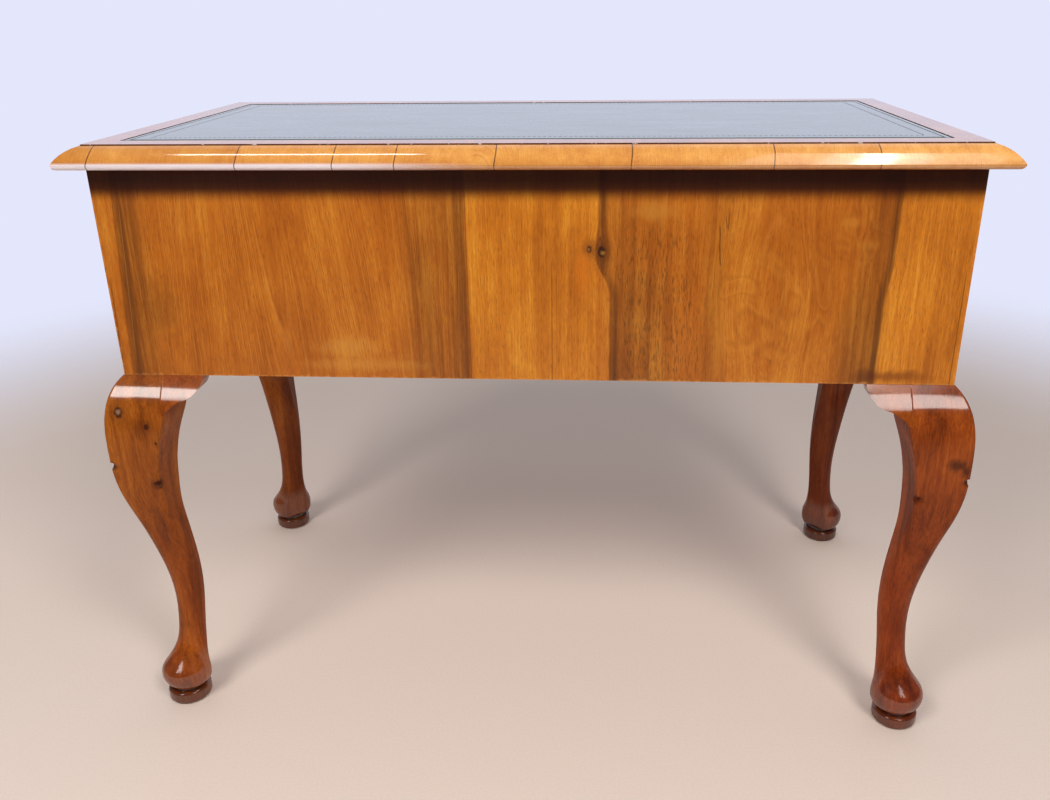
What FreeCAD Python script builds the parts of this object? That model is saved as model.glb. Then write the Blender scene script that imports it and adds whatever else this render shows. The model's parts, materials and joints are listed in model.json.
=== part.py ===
"""Kneehole writing desk on cabriole legs, with a leather-lined top and five drawers.

Millimetres. The origin is on the floor under the middle of the desk, +X is to the right
of someone who sits at it, +Y goes to the back panel and +Z up.
"""

import FreeCAD, Part
import os
import re
import Sketcher
from FreeCAD import Vector

# Driving dimensions
SIZES = {
    # The whole desk
    "desk_height": 775,
    "top_width": 1060,
    "top_depth": 550,
    "top_overhang": 27,
    "leg_height": 495,
    # The top: core board, edge moulding, wooden border and leather
    "moulding_height": 26,
    "moulding_reach": 26,
    "moulding_quirk": 1.2,
    "moulding_nose": 6,
    "moulding_crown": 3.2,
    "border_width": 31,
    "border_thickness": 1.5,
    "leather_thickness": 1.2,
    # The case
    "board_thickness": 18,
    "back_thickness": 18,
    "bottom_thickness": 18,
    "pedestal_width": 240,
    "rail_thickness": 16,
    "rail_depth": 56,
    "housing_depth": 6,
    "opening_step": 10,
    "runner_width": 20,
    "stop_width": 30,
    "stop_depth": 16,
    "stop_height": 5,
    "glue_block_leg": 15,
    "glue_block_length": 60,
    # Screws of the top
    "screw_head_radius": 4.5,
    "screw_head_height": 3.5,
    "screw_shank_radius": 2.2,
    "screw_length": 30,
    # Cabriole legs
    "knee_reach": 27,
    "post_width": 52,
    "foot_inset": 7,
    "sole_radius": 29,
    "sole_height": 19,
    "sole_round": 5,
    "sole_neck_radius": 23,
    "sole_neck_height": 6,
    "spigot_radius": 8,
    "spigot_height": 16,
    "spigot_inset": 34,
    "thumb_radius": 5,
    "thumb_depth": 6,
    "thumb_reach": 14,
    # Ears beside each knee
    "ear_length": 49,
    "ear_depth": 45,
    "ear_tip": 4,
    "ear_roll": 4,
    "ear_round": 4,
    "ear_hollow": 3,
    "ear_back": 18,
    "ear_seat": 8,
    # Drawers
    "drawer_back_room": 18,
    "drawer_gap": 0.9,
    "drawer_play": 0.3,
    "front_thickness": 20,
    "side_thickness": 9,
    "side_drop": 3,
    "drawer_back_thickness": 9,
    "drawer_bottom_thickness": 6,
    "drawer_bottom_rise": 8,
    "groove_depth": 5,
    "dovetail_lap": 5,
    # Brass handles
    "handle_centres": 70,
    "handle_raise": 6,
    "handle_inset": 110,
    "rosette_radius": 12,
    "rosette_thickness": 2.4,
    "rosette_rim": 1,
    "rosette_hollow": 0.5,
    "post_neck_radius": 3,
    "post_collar_radius": 5,
    "post_collar_height": 2.5,
    "post_head_radius": 5.5,
    "post_stand": 17,
    "post_shank_radius": 2.5,
    "nut_radius": 5.5,
    "nut_thickness": 4,
    "shank_end": 2,
    "pin_radius": 2.2,
    "pin_clearance": 0.08,
    "pin_reach": 4,
    "bail_shoulder": 8,
    "bail_bend": 6,
    "bail_corner": 13,
    "bail_drop": 28,
    "grip_swell": 1.4,
    # Reach of a cutting shape past what it cuts
    "overrun": 4,
}

# Sizes that follow from the driving ones
LAYOUT = {
    "case_width": "top_width - 2 * top_overhang",
    "case_depth": "top_depth - 2 * top_overhang",
    "case_left": "-case_width / 2",
    "case_front": "-case_depth / 2",
    "case_back": "case_depth / 2",
    "top_underside": "desk_height - moulding_height",
    "core_width": "top_width - 2 * moulding_reach",
    "core_depth": "top_depth - 2 * moulding_reach",
    "core_top": "desk_height - border_thickness",
    "inner_depth": "case_depth - back_thickness",
    "drawer_depth": "inner_depth - drawer_back_room",
    "case_height": "top_underside - leg_height",
    "pedestal_inner": "pedestal_width - 2 * board_thickness",
    "kneehole_width": "case_width - 2 * pedestal_width",
    "kneehole_left": "case_left + pedestal_width",
    "lower_floor": "leg_height + bottom_thickness",
    "openings_height": "top_underside - lower_floor - 2 * rail_thickness",
    "upper_opening": "(openings_height - opening_step) / 2",
    "upper_floor": "top_underside - rail_thickness - upper_opening",
    "lower_opening": "upper_floor - rail_thickness - lower_floor",
    "runner_length": "inner_depth - rail_depth",
    "bore_radius": "pin_radius + pin_clearance",
    "pivot_half": "handle_centres / 2",
    "pad_underside": "sole_height + sole_neck_height",
    "leg_rise": "leg_height - pad_underside",
}

# Joints of the cross-grained moulding, from the left end and from the front end
BACK_JOINT_SHARES = (0.14, 0.245, 0.388, 0.528, 0.632, 0.697, 0.80, 0.96)
SIDE_JOINT_SHARES = (0.16, 0.38, 0.55, 0.79)

# Sections of a leg from the top down: height as a share of leg_rise above the pad's
# underside, outer face as a share of knee_reach, inner face as a share of post_width,
# corner as a share of the half width. Faces are measured from the corner of the case.
LEG_SECTION_SHARES = (
    (1.000, 0.04, 1.00, 0.08),
    (0.980, 0.36, 1.00, 0.08),
    (0.950, 0.65, 1.00, 0.09),
    (0.905, 0.87, 0.99, 0.09),
    (0.855, 0.97, 0.90, 0.09),
    (0.800, 0.99, 0.76, 0.09),
    (0.755, 0.98, 0.685, 0.09),
    (0.715, 0.945, 0.645, 0.11),
    (0.675, 0.875, 0.635, 0.18),
    (0.625, 0.735, 0.640, 0.32),
    (0.550, 0.465, 0.70, 0.53),
    (0.445, 0.14, 0.81, 0.77),
    (0.350, -0.09, 0.845, 0.90),
    (0.255, -0.16, 0.795, 0.93),
    (0.180, -0.07, 0.74, 0.94),
    (0.125, 0.16, 0.725, 0.95),
    (0.088, 0.53, 0.745, 0.96),
    (0.062, 0.87, 0.79, 0.97),
    (0.041, 0.98, 0.81, 0.98),
    (0.020, 0.92, 0.79, 0.98),
    (0.000, 0.70, 0.70, 0.98),
)

# Where a thumbnail cut ends the outer arris of a knee and the two beside it: the height,
# the outer face and the inner face, as in the sections
OUTER_CUT_SHARES = (0.755, 0.98)
SIDE_CUT_SHARES = (0.700, 0.925, 0.640)
DIAGONAL_SHARE = 0.5 ** 0.5

# An ear: how far its face stands out at the top and at the bottom, of knee_reach, and
# where its lower edge turns from round to hollow, along it and down it
EAR_REACH_SHARES = (0.04, 0.87)
EAR_TURN_SHARES = (0.45, 0.55)

# Dovetails of the drawer sides
TAIL_COUNT = 3
TAIL_TIP_SHARE = 0.62
TAIL_ROOT_SHARE = 0.46

# End of the swelling in a bail's grip, of the rod's radius
GRIP_END_SHARE = 0.8

# Pieces of a drawer that the other pedestal repeats
DRAWER_PIECES = ("front", "sides", "back", "bottom", "handle_mounts", "bail")

# Places along the case
GLUE_BLOCK_SHARES = (0.07, 0.33, 0.61, 0.87)
SCREW_SHARES = (0.15, 0.75)
STOP_SHARES = (0.2, 0.8)

# Sagitta of a quarter round as a share of its radius
QUARTER_SHARE = 1 - 0.5 ** 0.5

SPINE_X = Vector(1, 0, 0)
SPINE_Y = Vector(0, 1, 0)
SPINE_Z = Vector(0, 0, 1)

doc = FreeCAD.newDocument("KneeholeDesk")
sheets = {}
parts = {}


def bound(text):
    """Spell an expression out with the sheet that holds each size."""
    return re.sub(r"[a-z]+_\w+|overrun", lambda word: f"{sheets[word.group()]}.{word.group()}", text)


def value(text):
    """The number that an expression has now."""
    return float(doc.Sizes.evalExpression(bound(text)))


def write_sheets():
    """Put the driving dimensions in one sheet and what follows from them in another."""
    sizes = doc.addObject("Spreadsheet::Sheet", "Sizes")
    layout = doc.addObject("Spreadsheet::Sheet", "Layout")
    for row, (name, number) in enumerate(SIZES.items(), 1):
        sizes.set(f"A{row}", name)
        sizes.set(f"B{row}", str(number))
        sizes.setAlias(f"B{row}", name)
        sheets[name] = "Sizes"
    for row, (name, text) in enumerate(LAYOUT.items(), 1):
        layout.set(f"A{row}", name)
        layout.set(f"B{row}", "=" + bound(text))
        layout.setAlias(f"B{row}", name)
        sheets[name] = "Layout"
    doc.recompute()


def add(kind, label):
    """A new object of the document."""
    thing = doc.addObject(kind, label)
    thing.Label = label
    return thing


def keep(label, thing):
    """Make an object one of the desk's pieces."""
    thing.Label = label
    parts[label] = thing
    return thing


def place(thing, at):
    """Bind where an object stands."""
    for axis, text in zip("xyz", at):
        thing.setExpression(f"Placement.Base.{axis}", bound(text))


def board(label, at, size):
    """A plain board from its lowest corner and its size along X, Y and Z."""
    box = add("Part::Box", label)
    for name, text in zip(("Length", "Width", "Height"), size):
        box.setExpression(name, bound(text))
    place(box, at)
    return box


def boolean(kind, label, base, tool):
    """Part::Cut, Part::Common or Part::Fuse of two objects."""
    result = add("Part::" + kind, label)
    result.Base = base
    result.Tool = tool
    return result


def group(label, members):
    """Separate solids that share a name."""
    result = add("Part::Compound", label)
    result.Links = members
    return result


def mirror(label, source, normal, at="0"):
    """A copy of an object reflected in a plane across X or Y."""
    result = add("Part::Mirroring", label)
    result.Source = source
    result.Normal = normal
    axis = "x" if normal == SPINE_X else "y"
    result.setExpression(f"Base.{axis}", bound(at))
    return result


def arc_through(start, end, bulge):
    """An arc whose middle stands off the chord by the bulge, to the right of the way."""
    run = end - start
    side = Vector(run.y, -run.x, 0).normalize()
    return Part.Arc(start, (start + end) / 2 + side * bulge, end)


def fix(sketch, kind, name, text, *ends):
    """Add a dimension to a sketch and bind it."""
    index = sketch.addConstraint(Sketcher.Constraint(kind, *ends, value(text)))
    sketch.renameConstraint(index, name)
    sketch.setExpression("Constraints." + name, bound(text))


def fix_radius(sketch, index, piece, start, end):
    """Bind an arc's radius to its chord and its sagitta."""
    sagitta = f"abs({end[2]})"
    square = f"(({end[0]}) - ({start[0]}))^2 + (({end[1]}) - ({start[1]}))^2"
    fix(sketch, "Radius", f"bend{index}", f"({square}) / (8 * {sagitta}) + {sagitta} / 2", piece)


def draw(sketch, corners, closed=True):
    """Draw an outline through corners (x, y) or (x, y, bulge), all bound.

    A bulge makes the stretch that arrives at its corner an arc of that sagitta, to the
    right of the way that the outline goes.
    """
    corners = [(corner + (None,))[:3] for corner in corners]
    spots = [Vector(value(x), value(y), 0) for x, y, bulge in corners]
    first_stretch = 0 if closed else 1
    ends = {}
    for index in range(first_stretch, len(corners)):
        start, end, bulge = spots[index - 1], spots[index], corners[index][2]
        if bulge is None:
            piece = sketch.addGeometry(Part.LineSegment(start, end))
            ends[index] = (piece, 1, 2)
        else:
            piece = sketch.addGeometry(arc_through(start, end, value(bulge)))
            ends[index] = (piece, 1, 2) if value(bulge) > 0 else (piece, 2, 1)
    for index, (piece, first, last) in ends.items():
        following = (index + 1) % len(corners)
        if following in ends:
            sketch.addConstraint(Sketcher.Constraint("Coincident", piece, last, *ends[following][:2]))
        fix(sketch, "DistanceX", f"across{index}", corners[index][0], -1, 1, piece, last)
        fix(sketch, "DistanceY", f"along{index}", corners[index][1], -1, 1, piece, last)
        if corners[index][2] is not None:
            fix_radius(sketch, index, piece, corners[index - 1], corners[index])
    if not closed:
        piece, first, last = ends[1]
        fix(sketch, "DistanceX", "across0", corners[0][0], -1, 1, piece, first)
        fix(sketch, "DistanceY", "along0", corners[0][1], -1, 1, piece, first)


def draw_circle(sketch, x, y, radius):
    """Draw a circle, bound."""
    middle = Vector(value(x), value(y), 0)
    piece = sketch.addGeometry(Part.Circle(middle, Vector(0, 0, 1), value(radius)))
    fix(sketch, "Radius", "radius", radius, piece)
    fix(sketch, "DistanceX", "across", x, -1, 1, piece, 3)
    fix(sketch, "DistanceY", "along", y, -1, 1, piece, 3)


def new_body(label, at):
    """An empty body with its own origin."""
    body = add("PartDesign::Body", label)
    place(body, at)
    return body


def sketch_on(body, role, shift=("0", "0", "0")):
    """A sketch on one of the body's origin planes, moved along the sketch's own axes."""
    sketch = body.newObject("Sketcher::SketchObject", body.Label + "_sketch")
    plane = next(one for one in body.Origin.OriginFeatures if one.Role == role)
    sketch.AttachmentSupport = [(plane, "")]
    sketch.MapMode = "FlatFace"
    for axis, text in zip("xyz", shift):
        sketch.setExpression(f"AttachmentOffset.Base.{axis}", bound(text))
    return sketch


def pad(body, sketch, length):
    """Raise a sketch along its normal."""
    feature = body.newObject("PartDesign::Pad", body.Label + "_pad")
    feature.Profile = sketch
    feature.setExpression("Length", bound(length))
    return feature


def revolve(body, sketch, axis="V_Axis"):
    """Turn a sketch about one of its own axes."""
    feature = body.newObject("PartDesign::Revolution", body.Label + "_turning")
    feature.Profile = sketch
    feature.ReferenceAxis = (sketch, [axis])
    feature.Angle = 360
    return feature


def prism(label, at, role, corners, length):
    """A body padded from one outline."""
    body = new_body(label, at)
    sketch = sketch_on(body, role)
    draw(sketch, corners)
    pad(body, sketch, length)
    return body


def turned(label, at, role, corners):
    """A body turned from one outline about its sketch's upright axis."""
    body = new_body(label, at)
    sketch = sketch_on(body, role)
    draw(sketch, corners)
    revolve(body, sketch)
    return body


def edge_territory(label, corners):
    """The part of the top that lies nearest to one edge, up to the mitres."""
    height = "moulding_height + 2 * overrun"
    return prism(label, ("0", "0", "top_underside - overrun"), "XY_Plane", corners, height)


def moulding_outline(outer_sign):
    """Thumb-shaped section of the edge, from the core outwards along the first axis."""
    def out(text):
        return f"{outer_sign} * ({text})"
    corners = [
        (out("0"), "0"),
        (out("moulding_reach - moulding_nose"), "0"),
        (out("moulding_reach"), "moulding_nose", f"{outer_sign} * moulding_nose * {QUARTER_SHARE}"),
        (out("0"), "moulding_height - moulding_quirk", f"{outer_sign} * moulding_crown"),
    ]
    return corners


def split_run(label, run, boxes):
    """Cut a run of moulding into its short glued lengths."""
    lengths = []
    for index, box in enumerate(boxes):
        lengths.append(boolean("Common", f"{label}_length_{index}", run, box))
    return keep(label, group(label, lengths))


def spans(shares):
    """Neighbouring pairs of shares from one end to the other."""
    ends = (0,) + shares + (1,)
    return list(zip(ends, ends[1:]))


def build_edge_moulding():
    """Four mitred runs of cross-grained moulding round the core."""
    half_width, half_depth = "top_width / 2", "top_depth / 2"
    back_land = edge_territory("back_territory", [
        (f"-{half_width}", half_depth),
        (f"-{half_width} + {half_depth}", "0"),
        (f"{half_width} - {half_depth}", "0"),
        (half_width, half_depth),
    ])
    left_land = edge_territory("left_territory", [
        (f"-{half_width}", f"-{half_depth}"),
        (f"-{half_width} + {half_depth}", "0"),
        (f"-{half_width}", half_depth),
    ])
    back_bar = prism("back_moulding_bar", (f"-{half_width}", "core_depth / 2", "top_underside"),
                     "YZ_Plane", moulding_outline("1"), "top_width")
    left_bar = prism("left_moulding_bar", ("-core_width / 2", half_depth, "top_underside"),
                     "XZ_Plane", moulding_outline("-1"), "top_depth")
    back_run = boolean("Common", "back_moulding_run", back_bar, back_land)
    left_run = boolean("Common", "left_moulding_run", left_bar, left_land)
    deep = "moulding_reach + 2 * overrun"
    tall = "moulding_height + 2 * overrun"
    low = "top_underside - overrun"
    back_boxes = [
        board(f"back_length_{index}",
              (f"{start} * top_width - {half_width}", "core_depth / 2 - overrun", low),
              (f"{end - start} * top_width", deep, tall))
        for index, (start, end) in enumerate(spans(BACK_JOINT_SHARES))]
    left_boxes = [
        board(f"left_length_{index}",
              (f"-{half_width} - overrun", f"{start} * top_depth - {half_depth}", low),
              (deep, f"{end - start} * top_depth", tall))
        for index, (start, end) in enumerate(spans(SIDE_JOINT_SHARES))]
    back = split_run("top_moulding_back", back_run, back_boxes)
    left = split_run("top_moulding_left", left_run, left_boxes)
    keep("top_moulding_front", mirror("top_moulding_front", back, SPINE_Y))
    keep("top_moulding_right", mirror("top_moulding_right", left, SPINE_X))
    return back_land, left_land


def build_border(back_land, left_land):
    """Flat cross-grained border that frames the leather, mitred at the corners."""
    back_strip = board("back_border_strip",
                       ("-core_width / 2", "core_depth / 2 - border_width", "core_top"),
                       ("core_width", "border_width", "border_thickness"))
    left_strip = board("left_border_strip",
                       ("-core_width / 2", "-core_depth / 2", "core_top"),
                       ("border_width", "core_depth", "border_thickness"))
    back = boolean("Common", "back_border", back_strip, back_land)
    left = boolean("Common", "left_border", left_strip, left_land)
    front = mirror("front_border", back, SPINE_Y)
    right = mirror("right_border", left, SPINE_X)
    keep("top_border_crossband", group("top_border_crossband", [back, left, front, right]))


def build_top():
    """Core board with its moulded edge, border and leather."""
    back_land, left_land = build_edge_moulding()
    build_border(back_land, left_land)
    leather = board("leather_skiver",
                    ("-core_width / 2 + border_width", "-core_depth / 2 + border_width", "core_top"),
                    ("core_width - 2 * border_width", "core_depth - 2 * border_width",
                     "leather_thickness"))
    keep("leather_skiver", leather)
    screws = build_screws()
    core = board("top_core", ("-core_width / 2", "-core_depth / 2", "top_underside"),
                 ("core_width", "core_depth", "core_top - top_underside"))
    keep("top_panel", boolean("Cut", "top_panel", core, screws))
    build_kickers(screws)


def kicker_lefts():
    """Left faces of the strips on the left half of the case, beside each board."""
    return ("case_left + board_thickness",
            "kneehole_left - board_thickness - runner_width",
            "kneehole_left")


def build_screws():
    """Wood screws that hold the top down through the kickers."""
    outline = [
        ("0", "0"),
        ("screw_head_radius", "0"),
        ("screw_shank_radius", "screw_head_height"),
        ("screw_shank_radius", "screw_length - screw_shank_radius"),
        ("0", "screw_length"),
    ]
    screws = []
    for left in kicker_lefts():
        for share in SCREW_SHARES:
            at = (f"{left} + runner_width / 2",
                  f"case_front + rail_depth + {share} * runner_length",
                  "top_underside - rail_thickness")
            screws.append(turned("top_screw", at, "XZ_Plane", outline))
    left_half = group("left_top_screws", screws)
    right_half = mirror("right_top_screws", left_half, SPINE_X)
    return keep("top_fixing_screws", group("top_fixing_screws", [left_half, right_half]))


def both_sides(label, members):
    """A group of the left half's pieces and their mirror images."""
    left_half = group("left_" + label, members)
    right_half = mirror("right_" + label, left_half, SPINE_X)
    return group(label, [left_half, right_half])


def build_kickers(screws):
    """Strips under the top that keep the upper drawers from tipping."""
    strips = [
        board("kicker", (left, "case_front + rail_depth", "top_underside - rail_thickness"),
              ("runner_width", "runner_length", "rail_thickness"))
        for left in kicker_lefts()]
    strips = both_sides("kicker_strips", strips)
    keep("drawer_kickers", boolean("Cut", "drawer_kickers", strips, screws))


def build_runners():
    """Strips at the level of the drawer rails that the upper drawers slide on."""
    strips = [
        board("runner", (left, "case_front + rail_depth", "upper_floor - rail_thickness"),
              ("runner_width", "runner_length", "rail_thickness"))
        for left in kicker_lefts()]
    keep("drawer_runners", both_sides("drawer_runners", strips))


def build_case():
    """Back, sides, pedestals and rails."""
    keep("back_panel", board("back_panel", ("case_left", "case_back - back_thickness", "leg_height"),
                             ("case_width", "back_thickness", "case_height")))
    top_rail = board("top_front_rail",
                     ("case_left + board_thickness - housing_depth", "case_front",
                      "top_underside - rail_thickness"),
                     ("case_width - 2 * board_thickness + 2 * housing_depth", "rail_depth",
                      "rail_thickness"))
    keep("top_front_rail", top_rail)
    kneehole_rail = board("kneehole_rail",
                          ("kneehole_left - housing_depth", "case_front", "upper_floor - rail_thickness"),
                          ("kneehole_width + 2 * housing_depth", "rail_depth", "rail_thickness"))
    keep("kneehole_rail", kneehole_rail)
    housed_left = "case_left + board_thickness - housing_depth"
    housed_width = "pedestal_inner + 2 * housing_depth"
    drawer_rail = board("left_drawer_rail", (housed_left, "case_front", "upper_floor - rail_thickness"),
                        (housed_width, "rail_depth", "rail_thickness"))
    bottom = board("left_bottom_board", (housed_left, "case_front", "leg_height"),
                   (housed_width, "inner_depth", "bottom_thickness"))
    side = board("left_side_board", ("case_left", "case_front", "leg_height"),
                 ("board_thickness", "inner_depth", "case_height"))
    inner = board("left_kneehole_board", ("kneehole_left - board_thickness", "case_front", "leg_height"),
                  ("board_thickness", "inner_depth", "case_height"))
    housed = group("left_housed", [drawer_rail, bottom, top_rail])
    knee_housed = group("kneehole_housed", [housed, kneehole_rail])
    pair("side_panel", boolean("Cut", "left_side_panel", side, housed))
    pair("kneehole_side", boolean("Cut", "left_kneehole_side", inner, knee_housed))
    pair("drawer_rail", drawer_rail)
    return bottom


def pair(name, left):
    """Keep a left-hand piece and its mirror image."""
    keep("left_" + name, left)
    keep("right_" + name, mirror("right_" + name, left, SPINE_X))


def build_glue_blocks():
    """Three-cornered blocks in the angle of the top and the back panel."""
    leg = "glue_block_leg"
    outline = [("0", "0"), (f"-{leg}", "0"), ("0", f"-{leg}")]
    blocks = [
        prism("glue_block",
              (f"case_left + {share} * case_width", "case_back - back_thickness", "top_underside"),
              "YZ_Plane", outline, "glue_block_length")
        for share in GLUE_BLOCK_SHARES]
    keep("glue_blocks", group("glue_blocks", blocks))


def leg_section(body, shares):
    """Rounded square across a leg, the same way out of the corner in X and in Y."""
    height, outer, inner, corner = shares
    high = f"{outer} * knee_reach"
    low = f"-{inner} * post_width"
    radius = f"{corner} * ({high} - ({low})) / 2"
    bulge = f"{QUARTER_SHARE} * {radius}"
    sketch = sketch_on(body, "XY_Plane", ("0", "0", f"pad_underside + {height} * leg_rise"))
    draw(sketch, [
        (f"{low} + {radius}", low),
        (f"{high} - {radius}", low),
        (high, f"{low} + {radius}", bulge),
        (high, f"{high} - {radius}"),
        (f"{high} - {radius}", high, bulge),
        (f"{low} + {radius}", high),
        (low, f"{high} - {radius}", bulge),
        (low, f"{low} + {radius}"),
        ])
    return sketch


def leg_body(label):
    """Cabriole leg at the back right corner, with its turned sole and its spigot."""
    body = new_body(label, ("case_width / 2", "case_back", "0"))
    sections = [leg_section(body, shares) for shares in LEG_SECTION_SHARES]
    loft = body.newObject("PartDesign::AdditiveLoft", label + "_loft")
    loft.Profile = sections[0]
    loft.Sections = sections[1:]
    sole = sketch_on(body, "XZ_Plane", ("-foot_inset", "0", "foot_inset"))
    rim = "sole_radius - sole_round"
    bulge = f"sole_round * {QUARTER_SHARE}"
    draw(sole, [
        ("0", "0"),
        (rim, "0"),
        ("sole_radius", "sole_round", bulge),
        ("sole_radius", "sole_height - sole_round"),
        (rim, "sole_height", bulge),
        ("sole_neck_radius", "sole_height"),
        ("sole_neck_radius", "pad_underside"),
        ("0", "pad_underside"),
    ])
    revolve(body, sole)
    spigot = sketch_on(body, "XY_Plane", ("0", "0", "leg_height"))
    draw_circle(spigot, "-spigot_inset", "-spigot_inset", "spigot_radius")
    pad(body, spigot, "spigot_height")
    return body


def thumb_cut(label, x, y, height, way):
    """A round cutter laid level across an arris, which faces out along X and Y by way."""
    cutter = add("Part::Cylinder", label)
    cutter.setExpression("Radius", bound("thumb_radius"))
    cutter.setExpression("Height", bound("2 * thumb_reach"))
    cutter.Placement = FreeCAD.Placement(Vector(), FreeCAD.Rotation(SPINE_Z, Vector(-way.y, way.x, 0)))
    out = "(thumb_radius - thumb_depth)"
    place(cutter, (
        f"case_width / 2 + {x} + {DIAGONAL_SHARE} * ({way.x} * {out} + {way.y} * thumb_reach)",
        f"case_back + {y} + {DIAGONAL_SHARE} * ({way.y} * {out} - {way.x} * thumb_reach)",
        f"pad_underside + {height} * leg_rise"))
    return cutter


def carved_leg(label):
    """A leg whose knee is square with crisp arrises, each of them ended by a thumbnail cut."""
    outer_height, outer = OUTER_CUT_SHARES
    corner = f"{outer} * knee_reach"
    side_height, outer, inner = SIDE_CUT_SHARES
    high = f"{outer} * knee_reach"
    low = f"(-{inner} * post_width)"
    cuts = group(label + "_cuts", [
        thumb_cut(label + "_outer_cut", corner, corner, outer_height, SPINE_X + SPINE_Y),
        thumb_cut(label + "_back_cut", low, high, side_height, SPINE_Y - SPINE_X),
        thumb_cut(label + "_side_cut", high, low, side_height, SPINE_X - SPINE_Y)])
    return boolean("Cut", label, leg_body(label + "_blank"), cuts)


def build_ears(leg):
    """Shaped brackets that carry the knees on under the case, two to a leg."""
    reach = "ear_length + ear_seat"
    depth = "-ear_depth"
    rolled = prism("ear_rolled", ("case_width / 2 - post_width - ear_length", "case_back", "leg_height"),
                   "YZ_Plane",
                   [("-ear_back", depth),
                    (f"{EAR_REACH_SHARES[1]} * knee_reach", depth),
                    (f"{EAR_REACH_SHARES[0]} * knee_reach", "0", "ear_roll"),
                    ("-ear_back", "0")],
                   reach)
    along, down = EAR_TURN_SHARES
    turn = (f"-ear_length + {along} * ear_length", f"-ear_tip - {down} * (ear_depth - ear_tip)")
    sawn = prism("ear_sawn", ("case_width / 2 - post_width", "case_back + knee_reach", "leg_height"),
                 "XZ_Plane",
                 [("ear_seat", "0"),
                  ("-ear_length", "0"),
                  ("-ear_length", "-ear_tip"),
                  (*turn, "ear_round"),
                  ("0", depth, "-ear_hollow"),
                  ("ear_seat", depth)],
                 "ear_back + knee_reach")
    blank = boolean("Common", "ear_blank", rolled, sawn)
    ear = boolean("Cut", "ear", blank, leg)
    twin = add("Part::Mirroring", "ear_twin")
    twin.Source = ear
    twin.Normal = SPINE_X - SPINE_Y
    twin.setExpression("Base.x", bound("case_width / 2"))
    twin.setExpression("Base.y", bound("case_back"))
    back_right = group("back_right_ears", [ear, twin])
    back = group("back_ears", [back_right, mirror("back_left_ears", back_right, SPINE_X)])
    front = mirror("front_ears", back, SPINE_Y)
    keep("knee_brackets", group("knee_brackets", [back, front]))


def build_legs(bottom):
    """Four legs, their ears and the pedestal bottoms that their spigots stand in."""
    back_right = keep("leg_back_right", carved_leg("leg_back_right"))
    back_left = keep("leg_back_left", mirror("leg_back_left", back_right, SPINE_X))
    front_left = keep("leg_front_left", mirror("leg_front_left", back_left, SPINE_Y))
    keep("leg_front_right", mirror("leg_front_right", back_right, SPINE_Y))
    build_ears(back_right)
    drilled = boolean("Cut", "left_bottom_drilled", bottom, back_left)
    pair("pedestal_bottom", boolean("Cut", "left_pedestal_bottom", drilled, front_left))


def dovetails(body, tip, root, height):
    """Tails on one end of a drawer side, from their tips back to the shoulder."""
    pitch = f"({height}) / {TAIL_COUNT}"
    sketch = sketch_on(body, "YZ_Plane")
    draw(sketch, [
        (tip, f"{pitch} * {0.5 - TAIL_TIP_SHARE / 2}"),
        (root, f"{pitch} * {0.5 - TAIL_ROOT_SHARE / 2}"),
        (root, f"{pitch} * {0.5 + TAIL_ROOT_SHARE / 2}"),
        (tip, f"{pitch} * {0.5 + TAIL_TIP_SHARE / 2}"),
    ])
    tail = pad(body, sketch, "side_thickness")
    row = body.newObject("PartDesign::LinearPattern", body.Label + "_tails")
    row.Originals = [tail]
    row.Direction = (sketch, ["V_Axis"])
    row.Occurrences = TAIL_COUNT
    row.setExpression("Length", bound(f"({height}) - {pitch}"))
    body.Tip = row


def drawer_side(label, at, height):
    """Left side of a drawer with its tails at the front and at the back."""
    body = new_body(label, at)
    shoulder = "front_thickness - dovetail_lap"
    length = "drawer_depth - dovetail_lap"
    back_shoulder = f"{length} - drawer_back_thickness"
    sketch = sketch_on(body, "YZ_Plane")
    draw(sketch, [
        (shoulder, "0"),
        (back_shoulder, "0"),
        (back_shoulder, height),
        (shoulder, height),
    ])
    pad(body, sketch, "side_thickness")
    dovetails(body, "0", shoulder, height)
    dovetails(body, length, back_shoulder, height)
    return body


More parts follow.
